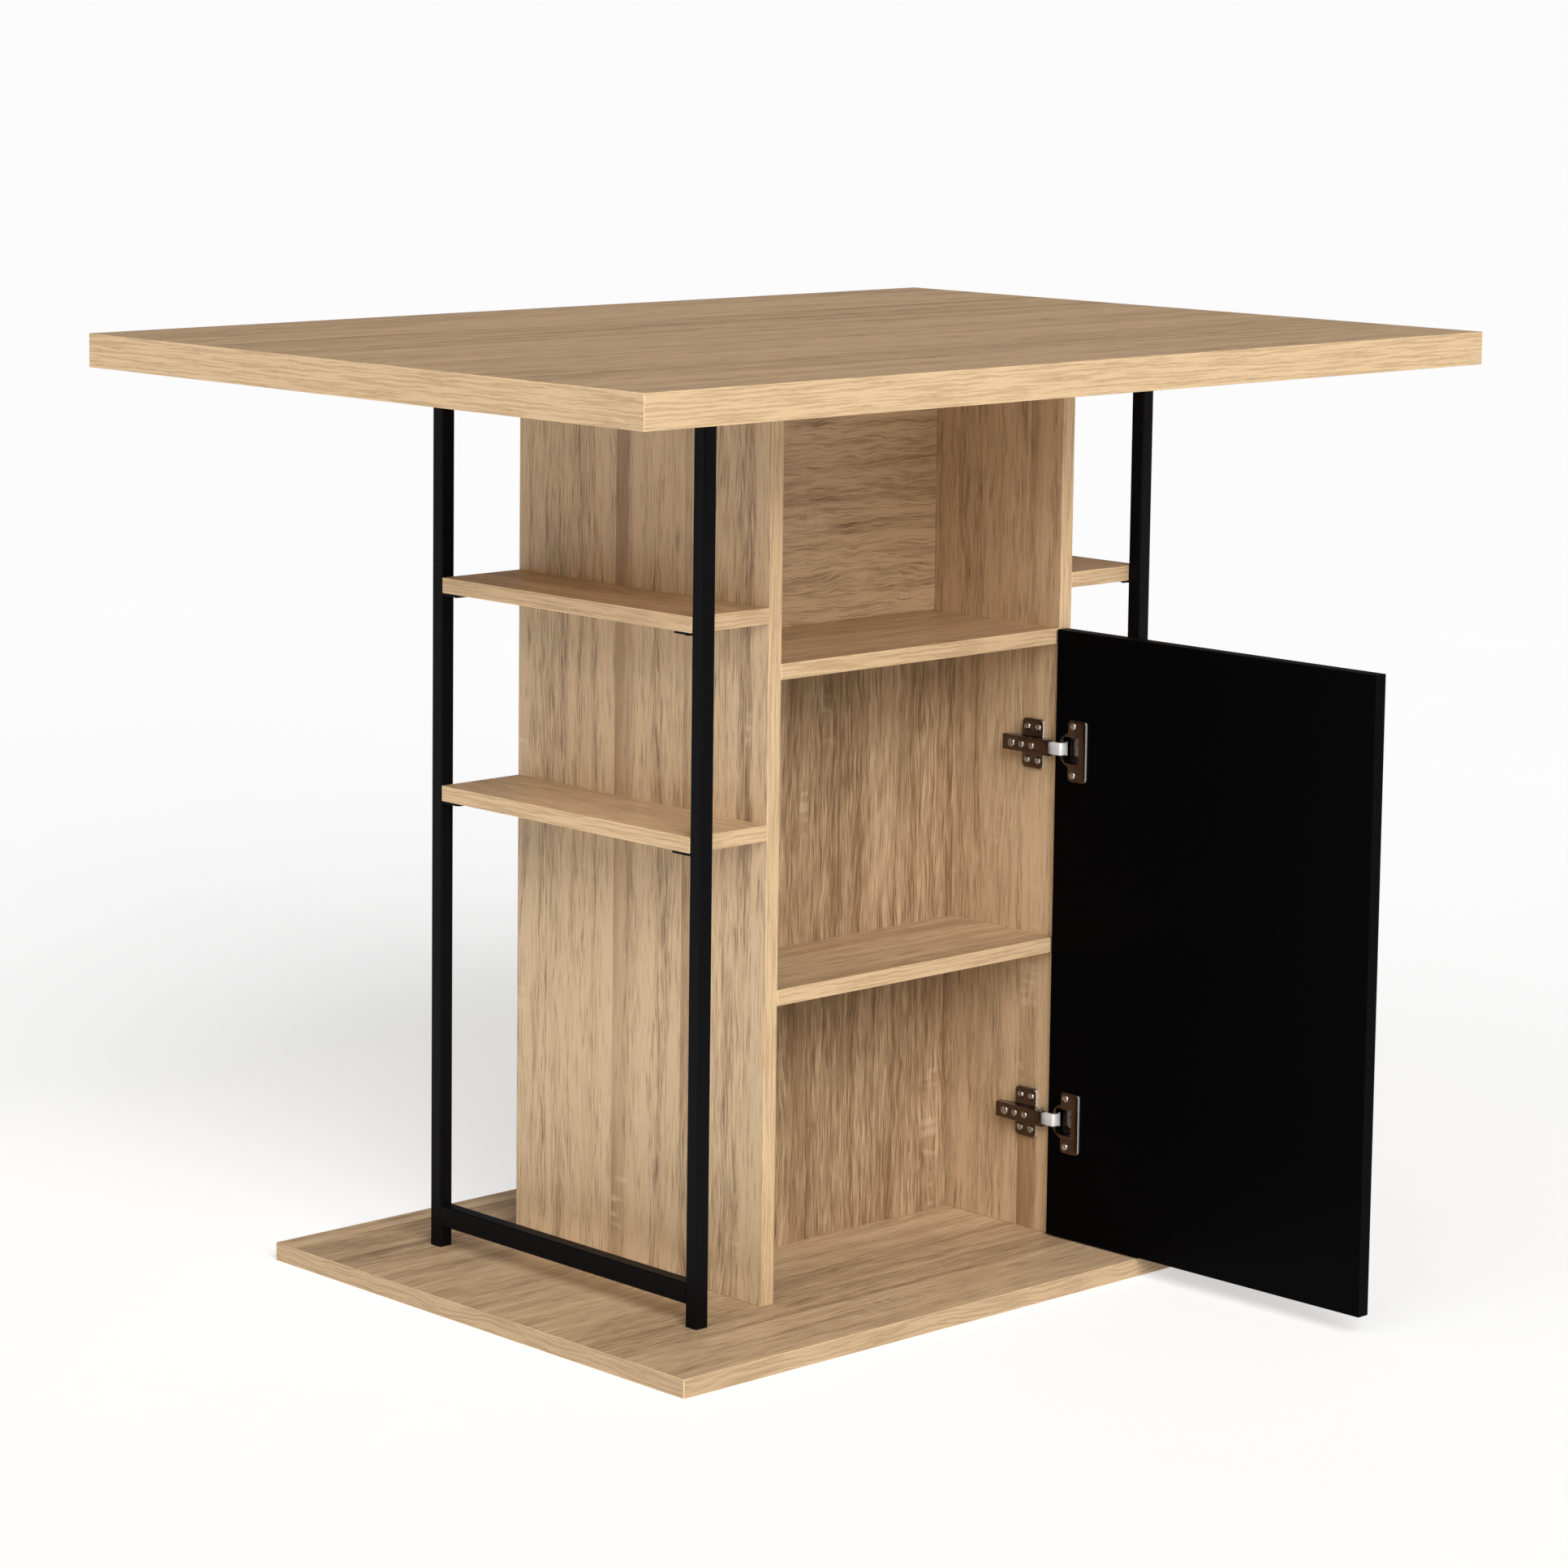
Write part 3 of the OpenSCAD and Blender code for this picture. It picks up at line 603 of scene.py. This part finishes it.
def edge_band(name, flame=0.0, shade=1.0):
    """The edge bands: wavy pores along them, how far a flame figure bends these, and a shade."""
    material, g = new_finish(name)
    u, v = grain_place(g)

    def mark(kind, over):
        return draw(g, BAND_MARKS[kind], u, over)

    wavy = v + mark("sway", v) * BAND_SWAY_REACH + mark("slope", v) * flame
    marks = {"lines": mark("lines", wavy), "fine": mark("fine", wavy), "cloud": mark("cloud", v)}
    lines, fine, cloud = (marks[kind] * BAND_MARKS[kind].dark for kind in marks)
    share = g.maths("ADD", lines + fine, cloud, clamp=True)
    base = g.blend(share, colour_of("band"), colour_of("band_pores"))
    base = g.blend(1.0, base, grey(shade), "MULTIPLY")
    rough = 0.45 + marks["fine"] * 0.2
    surface(g, base, rough, 0.0 - marks["lines"], (0.3, 0.0002), Specular_IOR_Level=0.3)
    return material


def specks(graph, rates, detail=2.0):
    """Noise from 0 to 1 on the object, with about that many specks on a metre along each axis."""
    place = graph.node("ShaderNodeTexCoord", None, None, out="Object")
    return graph.noise(*(graph.part(place, k) * rates[k] for k in range(3)), detail)


def chipboard(name):
    """The raw core that shows in bores."""
    material, g = new_finish(name)
    chips = specks(g, SPECKS["chips"], 3.0)
    base = g.blend(g.ramp(chips, 0.3, 0.7), (0.42, 0.29, 0.16, 1), (0.20, 0.12, 0.06, 1))
    surface(g, base, 0.85 + chips * 0.1, chips, (0.6, 0.0005), Specular_IOR_Level=0.2)
    return material


def coated(name, colour, roughness, gloss, grain=1500.0, depth=0.00006):
    """Powder coat or laminate: a fine pearl in the surface and a slight cloud in the gloss."""
    material, g = new_finish(name)
    pearl = specks(g, (grain, grain, grain))
    cloud = specks(g, SPECKS["coat cloud"], 3.0) - 0.5
    base = g.blend(pearl, colour, shaded(colour, PEARL_SHADE))
    rough = roughness + cloud * 0.12 + (pearl - 0.5) * 0.10
    surface(g, base, rough, pearl, (0.5, depth), Specular_IOR_Level=gloss)
    return material


def plated(name, colour, roughness, marks=0.5, metal=1.0):
    """Plated metal: rolling marks and a light mottle."""
    material, g = new_finish(name)
    rolling = (specks(g, SPECKS["rolling"]) - 0.5) * marks
    mottle = specks(g, SPECKS["mottle"], 3.0) - 0.5
    share = g.maths("ADD", 0.25 + mottle * 0.9, rolling * 0.4, clamp=True)
    base = g.blend(share, colour, shaded(colour, MOTTLE_SHADE))
    rough = roughness + mottle * 0.16 + rolling * 0.14
    surface(g, base, rough, rolling + mottle, (0.25, 0.00004), Metallic=metal)
    return material


def beech(name):
    """Pale turned beech."""
    material, g = new_finish(name)
    fleck = specks(g, SPECKS["beech"])
    base = g.blend(g.ramp(fleck, 0.35, 0.65), (0.66, 0.48, 0.30, 1), (0.50, 0.33, 0.19, 1))
    surface(g, base, 0.6 + fleck * 0.1, fleck, (0.3, 0.0001), Specular_IOR_Level=0.3)
    return material


# How each finish is made, apart from the oak decors
MAKERS = {
    "band": lambda: edge_band("oak_edge_band"),
    "flame band": lambda: edge_band("oak_flame_band", flame=0.03, shade=0.78),
    # painted highlight: the rounded corners where two bands meet are made lighter
    "band joint": lambda: edge_band("oak_band_joint", shade=1.25),
    "core": lambda: chipboard("chipboard"),
    "beech": lambda: beech("beech"),
    "steel": lambda: coated("black_powder_coat", colour_of("steel"), 0.38, gloss=0.055),
    "door": lambda: coated(
        "black_laminate", colour_of("door"), 0.38, gloss=0.02, grain=900.0, depth=0.00003
    ),
    "nickel": lambda: plated("dark_nickel", colour_of("nickel"), 0.16, marks=0.3),
    # painted highlight: pale nickel for the rounded edges and front rims of the hinges, in place of
    # the light they catch
    "rim highlight": lambda: plated(
        "worn_nickel", (0.80, 0.76, 0.72, 1), 0.28, marks=0.3, metal=0.6
    ),
    "bright": lambda: plated("bright_steel", colour_of("bright"), 0.40, marks=0.2, metal=0.25),
    "screw": lambda: plated("screw_steel", (0.60, 0.58, 0.56, 1), 0.18, marks=0.2),
    "black screw": lambda: coated("black_screw", (0.004, 0.004, 0.0045, 1), 0.35, gloss=0.2),
    "zinc": lambda: plated("zinc", (0.52, 0.53, 0.55, 1), 0.38),
}
finishes = {}


def finish(name):
    """The finish with that name, made the first time it is asked for."""
    if name not in finishes:
        decor = OAK_DECORS.get(name)
        finishes[name] = oak_decor(**decor) if decor else MAKERS[name]()
    return finishes[name]


def welded_copy(node):
    """A bmesh of a CAD node whose triangles are joined up."""
    mesh = bmesh.new()
    mesh.from_mesh(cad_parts[node].data)
    bmesh.ops.remove_doubles(mesh, verts=mesh.verts, dist=WELD)
    return mesh


def merged_copy(node):
    """A bmesh of a CAD node whose triangles are joined up and whose flat faces are whole."""
    mesh = welded_copy(node)
    turn = math.radians(FLAT_TURN)
    bmesh.ops.dissolve_limit(mesh, angle_limit=turn, verts=mesh.verts, edges=mesh.edges)
    return mesh


def make_piece(name, mesh, materials):
    """An object from a bmesh, at the origin."""
    data = bpy.data.meshes.new(name)
    mesh.to_mesh(data)
    mesh.free()
    for material in materials:
        data.materials.append(material)
    piece = bpy.data.objects.new(name, data)
    bpy.context.scene.collection.objects.link(piece)
    return piece


def replace_node(piece, node, body):
    """The piece stands for a CAD node, on its body."""
    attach(piece, body)
    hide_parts(node)


def on_sides(point, low, high, reach):
    """How many of the box's sides a point lies on."""
    return sum(
        abs(point[k] - low[k]) < reach or abs(point[k] - high[k]) < reach for k in range(3)
    )


def round_edges(mesh, edges, radius, segments, edge_finish=0):
    """Rounds some edges and gives the new faces the finish with that number."""
    bmesh.ops.bevel(
        mesh,
        geom=edges,
        offset=radius,
        offset_type="OFFSET",
        segments=segments,
        profile=0.5,
        affect="EDGES",
        clamp_overlap=True,
        material=edge_finish,
    )


def round_box_edges(mesh, low, high, radius):
    """Rounds the twelve outer edges of a board, and leaves its bores sharp."""
    outer = [
        e
        for e in mesh.edges
        if all(on_sides(v.co, low, high, ON_SIDE) >= 2 for v in e.verts)
        and on_sides((e.verts[0].co + e.verts[1].co) / 2, low, high, ON_SIDE) >= 2
    ]
    round_edges(mesh, outer, radius, segments=3)


def soften_edges(mesh, radius, turn, shortest=0.0, edge_finish=0):
    """Rounds the edges that turn by more than that many degrees and are longer than a length."""
    sharp = [
        e
        for e in mesh.edges
        if len(e.link_faces) == 2
        and e.calc_face_angle(0) > math.radians(turn)
        and e.calc_length() > shortest
    ]
    round_edges(mesh, sharp, radius, segments=2, edge_finish=edge_finish)


def lay_grain(mesh, low, high, grain, start, luck):
    """Gives every face its place along and across the grain, and its finish: 0 for decor, 1 for
    edge bands, 2 for the raw core in bores and 3 for the rounded corners where two bands meet, made
    lighter as a painted highlight."""
    layer = mesh.loops.layers.uv.new("grain")
    size = high - low
    thin = min(range(3), key=lambda k: size[k])
    far = PATTERN_SHIFT
    shifts = [(luck.uniform(0, far), luck.uniform(0, far)) for _ in range(6)]
    for face in mesh.faces:
        normal = face.normal
        axis = facing_axis(normal)
        flat = abs(normal[axis]) > SQUARE
        outside = on_sides(face.calc_center_median(), low, high, ON_ROUNDING) >= 1
        if axis == thin:
            along = grain
        else:
            along = max((k for k in range(3) if k not in (axis, thin)), key=lambda k: size[k])
        across = next(k for k in range(3) if k not in (axis, along))
        if not outside:
            face.material_index = 2
        elif axis == thin and flat:
            face.material_index = 0
        elif flat or abs(normal[thin]) > LEANING:
            face.material_index = 1
        else:
            face.material_index = 3
        face.smooth = outside and not flat
        shift = shifts[axis + (3 if normal[axis] > 0 else 0)]
        off = -start if axis == thin else shift[1]
        for loop in face.loops:
            point = loop.vert.co
            loop[layer].uv = (point[along] + shift[0], point[across] + off)


def facing_axis(direction):
    """The axis that a direction follows most."""
    return max(range(3), key=lambda k: abs(direction[k]))


class ISLAND_OT_boards(bpy.types.Operator):
    """Dress the boards: rounded edges, oak decor along the grain and edge bands"""

    bl_idname = "island.boards"
    bl_label = "Boards"

    def execute(self, context):
        luck = random.Random(7)
        for node, (grain, decor) in BOARDS.items():
            low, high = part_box(node)
            mesh = merged_copy(node)
            round_box_edges(mesh, low, high, sizes().edge_radius)
            start = STRIP_STARTS.get(node, luck.uniform(0, LATEST_START))
            lay_grain(mesh, low, high, grain, start, luck)
            band = "flame band" if node == "base_plate" else "band"
            looks = [finish(name) for name in (decor, band, "core", "band joint")]
            piece = make_piece("dressed_" + node, mesh, looks)
            replace_node(piece, node, "carcase")
        return {"FINISHED"}


def coat_node(node, finish_name):
    """Gives a CAD node's own slots a finish."""
    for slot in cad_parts[node].material_slots:
        slot.material = finish(finish_name)


class ISLAND_OT_steel_frames(bpy.types.Operator):
    """Coat the posts, rails and tabs of the steel side frames"""

    bl_idname = "island.steel_frames"
    bl_label = "Steel frames"

    def execute(self, context):
        for node in STEEL_TUBES:
            coat_node(node, "steel")
        return {"FINISHED"}


class ISLAND_OT_door(bpy.types.Operator):
    """Dress the door: rounded edges and black laminate"""

    bl_idname = "island.door"
    bl_label = "Door"

    def execute(self, context):
        mesh = merged_copy("door")
        soften_edges(mesh, sizes().door_radius, DOOR_TURN, DOOR_SHORTEST)
        piece = make_piece("dressed_door", mesh, [finish("door")])
        replace_node(piece, "door", "door")
        return {"FINISHED"}


def paint_rim_highlights(mesh, limit):
    """Gives the rims that lie further to the front than a limit the second finish: pale nickel as a
    painted highlight.
    """
    for face in mesh.faces:
        if face.normal.y < RIM_FRONT and face.calc_center_median().y < limit:
            face.material_index = 1


class ISLAND_OT_hinges(bpy.types.Operator):
    """Dress the hinges: stamped plates, arms, links and cups with soft edges, and pale nickel
    painted as a highlight on the edges and front rims
    """

    bl_idname = "island.hinges"
    bl_label = "Hinges"

    def execute(self, context):
        for node, (body, finish_name, slot, rim) in HINGE_PARTS.items():
            mesh = merged_copy(node)
            # the rounded edges get the second finish, a painted highlight
            soften_edges(mesh, sizes().hinge_radius, HINGE_TURN, edge_finish=1)
            if rim:
                paint_rim_highlights(mesh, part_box(node)[0].y + rim)
            piece = make_piece("dressed_" + node, mesh, [finish(finish_name), finish("rim highlight")])
            piece.data.shade_smooth()
            piece.data.set_sharp_from_angle(angle=math.radians(HINGE_SHARP))
            replace_node(piece, node, body)
        coat_node("hinge_arm_pins", "bright")
        coat_node("hinge_cup_pins", "bright")
        return {"FINISHED"}


def solids_of(node):
    """The low and high corner of every separate solid in a CAD node."""
    mesh = welded_copy(node)
    left, boxes = set(mesh.verts), []
    while left:
        group, rim = [], [left.pop()]
        while rim:
            vert = rim.pop()
            group.append(vert.co.copy())
            for other in (e.other_vert(vert) for e in vert.link_edges):
                if other in left:
                    left.remove(other)
                    rim.append(other)
        low, high = (Vector([end(p[k] for p in group) for k in range(3)]) for end in (min, max))
        boxes.append((low, high))
    mesh.free()
    return sorted(boxes, key=lambda b: tuple(round(c, 5) for c in b[0]))


def node_tree(name, inputs):
    """A Geometry Nodes tree with named inputs and one geometry output."""
    tree = bpy.data.node_groups.new(name, "GeometryNodeTree")
    tree.interface.new_socket("Geometry", in_out="INPUT", socket_type="NodeSocketGeometry")
    for label, kind, default in inputs:
        socket = tree.interface.new_socket(label, in_out="INPUT", socket_type=kind)
        if default is not None:
            socket.default_value = default
    tree.interface.new_socket("Geometry", in_out="OUTPUT", socket_type="NodeSocketGeometry")
    graph = Graph(tree)
    start = tree.nodes.new("NodeGroupInput")
    wires = {s.name: Wire(graph, s) for s in start.outputs if s.name}
    return graph, wires


def close_tree(graph, geometry, material):
    """Ends a tree: real meshes instead of instances, with their material."""
    real = graph.node("GeometryNodeRealizeInstances", None, {"Geometry": geometry})
    done = graph.node("GeometryNodeSetMaterial", None, {"Geometry": real, "Material": material})
    end = graph.tree.nodes.new("NodeGroupOutput")
    graph.feed(end.inputs[0], done)


def screw_tree():
    """Screws on points: a domed head with a cross recess on a plain shank.
    The points carry the direction that the heads face, their scale and their turn."""
    graph, given = node_tree(
        "Screws",
        [
            ("Head diameter", "NodeSocketFloat", 0.007),
            ("Head height", "NodeSocketFloat", 0.002),
            ("Shank diameter", "NodeSocketFloat", 0.004),
            ("Shank length", "NodeSocketFloat", 0.01),
            ("Recess width", "NodeSocketFloat", RECESS_WIDTH),
            ("Finish", "NodeSocketMaterial", None),
        ],
    )
    head_d, head_h = given["Head diameter"], given["Head height"]

    def moved(shape, z):
        place = graph.vector(0.0, 0.0, z)
        return graph.node("GeometryNodeTransform", None, {"Geometry": shape, "Translation": place})

    def block(x, y, height, z):
        size = graph.vector(x, y, height)
        return moved(graph.node("GeometryNodeMeshCube", None, {"Size": size}), z)

    def joined(operation, sockets):
        settings = {"operation": operation, "solver": "EXACT"}
        return graph.node("GeometryNodeMeshBoolean", settings, sockets)

    def carried(name, kind="FLOAT"):
        settings = {"data_type": kind}
        return graph.node("GeometryNodeInputNamedAttribute", settings, {"Name": name}, "Attribute")

    faces = {"Segments": 40, "Rings": 20, "Radius": 0.5}
    ball = graph.node("GeometryNodeMeshUVSphere", None, faces)
    dome_size = graph.vector(head_d, head_d, head_h * 2.0)
    dome = graph.node("GeometryNodeTransform", None, {"Geometry": ball, "Scale": dome_size})
    reach, depth = head_d * RECESS_REACH, head_h * RECESS_DEPTH
    width = given["Recess width"]
    # the first block takes away the lower half of the ball, the others cut the cross
    cutters = [
        block(head_d * 1.5, head_d * 1.5, head_h * 2.0, head_h * -1.0),
        block(reach, width, depth, head_h),
        block(width, reach, depth, head_h),
    ]
    head = joined("DIFFERENCE", {"Mesh 1": dome, "Mesh 2": cutters})
    shank = graph.node(
        "GeometryNodeMeshCylinder",
        {"fill_type": "NGON"},
        {"Vertices": 24, "Radius": given["Shank diameter"] * 0.5, "Depth": given["Shank length"]},
    )
    shank = moved(shank, given["Shank length"] * -0.5 + SHANK_OVERLAP)
    screw = joined("UNION", {"Mesh": [head, shank]})
    turned = graph.node(
        "FunctionNodeAxisAngleToRotation", None, {"Axis": (0, 0, 1), "Angle": carried("spin")}
    )
    facing = carried("facing", "FLOAT_VECTOR")
    aimed = graph.node("FunctionNodeAlignRotationToVector", {"axis": "Z"}, {"Vector": facing})
    turn = graph.node(
        "FunctionNodeRotateRotation",
        {"rotation_space": "LOCAL"},
        {"Rotation": aimed, "Rotate By": turned},
    )
    scale = carried("scale")
    wide = graph.vector(scale, scale, 1.0)
    screws = graph.node(
        "GeometryNodeInstanceOnPoints",
        None,
        {"Points": given["Geometry"], "Instance": screw, "Rotation": turn, "Scale": wide},
    )
    close_tree(graph, screws, given["Finish"])
    return graph.tree


def spring_tree():
    """A coil spring around each point, standing along Z."""
    graph, given = node_tree(
        "Springs",
        [
            ("Turns", "NodeSocketFloat", 8.0),
            ("Radius", "NodeSocketFloat", 0.0026),
            ("Height", "NodeSocketFloat", 0.011),
            ("Wire diameter", "NodeSocketFloat", 0.0011),
            ("Finish", "NodeSocketMaterial", None),
        ],
    )
    coil = graph.node(
        "GeometryNodeCurveSpiral",
        None,
        {
            "Resolution": 24,
            "Rotations": given["Turns"],
            "Start Radius": given["Radius"],
            "End Radius": given["Radius"],
            "Height": given["Height"],
            "Reverse": False,
        },
    )
    wire = graph.node(
        "GeometryNodeCurvePrimitiveCircle",
        None,
        {"Resolution": 10, "Radius": given["Wire diameter"] * 0.5},
    )
    swept = graph.node(
        "GeometryNodeCurveToMesh", None, {"Curve": coil, "Profile Curve": wire, "Fill Caps": True}
    )
    springs = graph.node(
        "GeometryNodeInstanceOnPoints", None, {"Points": given["Geometry"], "Instance": swept}
    )
    close_tree(graph, springs, given["Finish"])
    return graph.tree


def grow(name, tree, points, inputs, attributes=None):
    """Runs a tree on points and keeps the result as a plain mesh."""
    seeds = bpy.data.meshes.new(name + "_points")
    seeds.from_pydata(points, [], [])
    for label, (kind, field, values) in (attributes or {}).items():
        seeds.attributes.new(label, kind, "POINT").data.foreach_set(field, values)
    holder = bpy.data.objects.new(name + "_points", seeds)
    bpy.context.scene.collection.objects.link(holder)
    modifier = holder.modifiers.new(name, "NODES")
    modifier.node_group = tree
    identifiers = {s.name: s.identifier for s in tree.interface.items_tree if s.in_out == "INPUT"}
    for label, value in inputs.items():
        modifier[identifiers[label]] = value
    depsgraph = bpy.context.evaluated_depsgraph_get()
    mesh = bpy.data.meshes.new_from_object(holder.evaluated_get(depsgraph), depsgraph=depsgraph)
    bpy.data.objects.remove(holder)
    if not mesh.polygons:
        raise RuntimeError(f"{name} came out empty")
    mesh.name = name
    mesh.shade_smooth()
    mesh.set_sharp_from_angle(angle=math.radians(SCREW_SHARP))
    piece = bpy.data.objects.new(name, mesh)
    bpy.context.scene.collection.objects.link(piece)
    return piece


class ISLAND_OT_screws(bpy.types.Operator):
    """Make the screws again with domed heads and cross recesses"""

    bl_idname = "island.screws"
    bl_label = "Screws"

    def execute(self, context):
        luck = random.Random(11)
        tree = screw_tree()
        for node, (body, direction, head_d, head_h, shank_d, finish_name) in SCREWS.items():
            axis = facing_axis(direction)
            places, widths = [], []
            for low, high in solids_of(node):
                place = (low + high) / 2
                end = low if direction[axis] < 0 else high
                place[axis] = end[axis] - direction[axis] * head_h
                places.append(place)
                across = [high[k] - low[k] for k in range(3) if k != axis]
                widths.append(max(across) / head_d)
                # all screws of a group are equally long
                length = high[axis] - low[axis] - head_h
            piece = grow(
                "cross_" + node,
                tree,
                places,
                {
                    "Head diameter": head_d,
                    "Head height": head_h,
                    "Shank diameter": shank_d,
                    "Shank length": length,
                    "Recess width": RECESS_WIDTH,
                    "Finish": finish(finish_name),
                },
                {
                    "facing": ("FLOAT_VECTOR", "vector", list(direction) * len(places)),
                    "scale": ("FLOAT", "value", widths),
                    "spin": ("FLOAT", "value", [luck.uniform(0, math.pi) for _ in places]),
                },
            )
            replace_node(piece, node, body)
        return {"FINISHED"}


class ISLAND_OT_springs(bpy.types.Operator):
    """Wind the closing springs of the hinges"""

    bl_idname = "island.springs"
    bl_label = "Springs"

    def execute(self, context):
        boxes = solids_of("hinge_springs")
        wire = sizes().spring_wire
        low, high = boxes[0]
        piece = grow(
            "wound_hinge_springs",
            spring_tree(),
            [((a[0] + b[0]) / 2, (a[1] + b[1]) / 2, a[2] + wire / 2) for a, b in boxes],
            {
                "Turns": float(sizes().spring_turns),
                "Radius": (high[0] - low[0] - wire) / 2,
                "Height": high[2] - low[2] - wire,
                "Wire diameter": wire,
                "Finish": finish("zinc"),
            },
        )
        replace_node(piece, "hinge_springs", "door")
        return {"FINISHED"}


class ISLAND_OT_hidden_fittings(bpy.types.Operator):
    """Finish the dowels, cam locks and the screws below the base plate"""

    bl_idname = "island.hidden_fittings"
    bl_label = "Hidden fittings"

    def execute(self, context):
        coat_node("dowels", "beech")
        for node in ("cam_bolts", "cam_locks", "post_foot_bolts", "panel_foot_screws"):
            coat_node(node, "zinc")
        return {"FINISHED"}


def place_camera():
    """The camera of the photograph, with its principal point held near the middle."""
    data = bpy.data.cameras.new("camera")
    data.sensor_width = SENSOR
    data.sensor_fit = "HORIZONTAL"
    data.lens = FOCAL * SENSOR / PHOTO_WIDTH
    data.shift_x = 0.5 - PRINCIPAL[0] / PHOTO_WIDTH
    data.shift_y = PRINCIPAL[1] / PHOTO_WIDTH - 0.5
    data.clip_start, data.clip_end = 0.1, 5000.0
    camera = bpy.data.objects.new("camera", data)
    turn = (
        Matrix.Rotation(math.radians(CAMERA_YAW), 4, "Z")
        @ Matrix.Rotation(math.radians(CAMERA_PITCH), 4, "X")
        @ Matrix.Rotation(math.radians(CAMERA_ROLL), 4, "Y")
        @ Matrix.Rotation(math.radians(90), 4, "X")
    )
    camera.matrix_world = Matrix.Translation(CAMERA_PLACE) @ turn
    bpy.context.scene.collection.objects.link(camera)
    bpy.context.scene.camera = camera


def soft_light(name, azimuth, height, spread, strength):
    """A far, wide studio light, with its angles in degrees."""
    data = bpy.data.lights.new(name, "SUN")
    data.angle = math.radians(spread)
    data.energy = strength
    light = bpy.data.objects.new(name, data)
    light.rotation_euler = (math.radians(90 - height), 0, math.radians(azimuth))
    bpy.context.scene.collection.objects.link(light)


def studio_world():
    """A pale wall round the horizon under a dimmer ceiling."""
    world = bpy.data.worlds.new("studio")
    world.use_nodes = True
    world.node_tree.nodes.clear()
    g = Graph(world.node_tree)
    up = g.part(g.node("ShaderNodeTexCoord", out="Generated"), Z)
    strength = HORIZON_LIGHT - g.ramp(up, *CEILING_EDGE) * CEILING_DROP
    light = g.node("ShaderNodeBackground", None, {"Color": WHITE, "Strength": strength})
    g.node("ShaderNodeOutputWorld", None, {"Surface": light})
    return world


def pale_floor():
    """The floor's finish: a faint cloud in its tone, and a glow that keeps it white."""
    material, g = new_finish("pale_floor")
    cloud = specks(g, SPECKS["floor cloud"], 3.0)
    base = g.blend(cloud, colour_of("floor"), grey(FLOOR_CLOUD))
    glow = {"Emission_Color": WHITE, "Emission_Strength": FLOOR_GLOW}
    surface(g, base, 0.75 + cloud * 0.1, cloud, (0.05, 0.0002), Specular_IOR_Level=0.1, **glow)
    return material


class ISLAND_OT_stage(bpy.types.Operator):
    """Set the stage: camera, pale floor and soft light"""

    bl_idname = "island.stage"
    bl_label = "Stage"

    def execute(self, context):
        place_camera()
        scene = context.scene
        scene.view_settings.view_transform = "Standard"
        scene.world = studio_world()
        mesh = bmesh.new()
        bmesh.ops.create_circle(mesh, cap_ends=True, segments=96, radius=FLOOR_RADIUS)
        floor = make_piece("floor", mesh, [pale_floor()])
        for light in LIGHTS:
            soft_light(*light)
        return {"FINISHED"}


class ISLAND_PT_panel(bpy.types.Panel):
    """The steps that build the island, in order"""

    bl_idname = "ISLAND_PT_panel"
    bl_label = "Kitchen island"
    bl_space_type = "VIEW_3D"
    bl_region_type = "UI"
    bl_category = "Kitchen island"

    def draw(self, context):
        for step in STEPS:
            self.layout.operator(step.bl_idname)
        for group in (context.scene.island_sizes, context.scene.island_colours):
            for key in group.__annotations__:
                self.layout.prop(group, key)


STEPS = (
    ISLAND_OT_stage,
    ISLAND_OT_boards,
    ISLAND_OT_steel_frames,
    ISLAND_OT_door,
    ISLAND_OT_hinges,
    ISLAND_OT_screws,
    ISLAND_OT_springs,
    ISLAND_OT_hidden_fittings,
)
CLASSES = (IslandSizes, IslandColours, *STEPS, ISLAND_PT_panel)


def register():
    """Registers the classes and gives the scene its sizes and colours."""
    for one in CLASSES:
        bpy.utils.register_class(one)
    bpy.types.Scene.island_sizes = bpy.props.PointerProperty(type=IslandSizes)
    bpy.types.Scene.island_colours = bpy.props.PointerProperty(type=IslandColours)


def unregister():
    """Takes back what register gives."""
    del bpy.types.Scene.island_colours
    del bpy.types.Scene.island_sizes
    for one in reversed(CLASSES):
        bpy.utils.unregister_class(one)


def main():
    register()
    for step in STEPS:
        group, name = step.bl_idname.split(".")
        getattr(getattr(bpy.ops, group), name)()


if __name__ == "__main__":
    main()
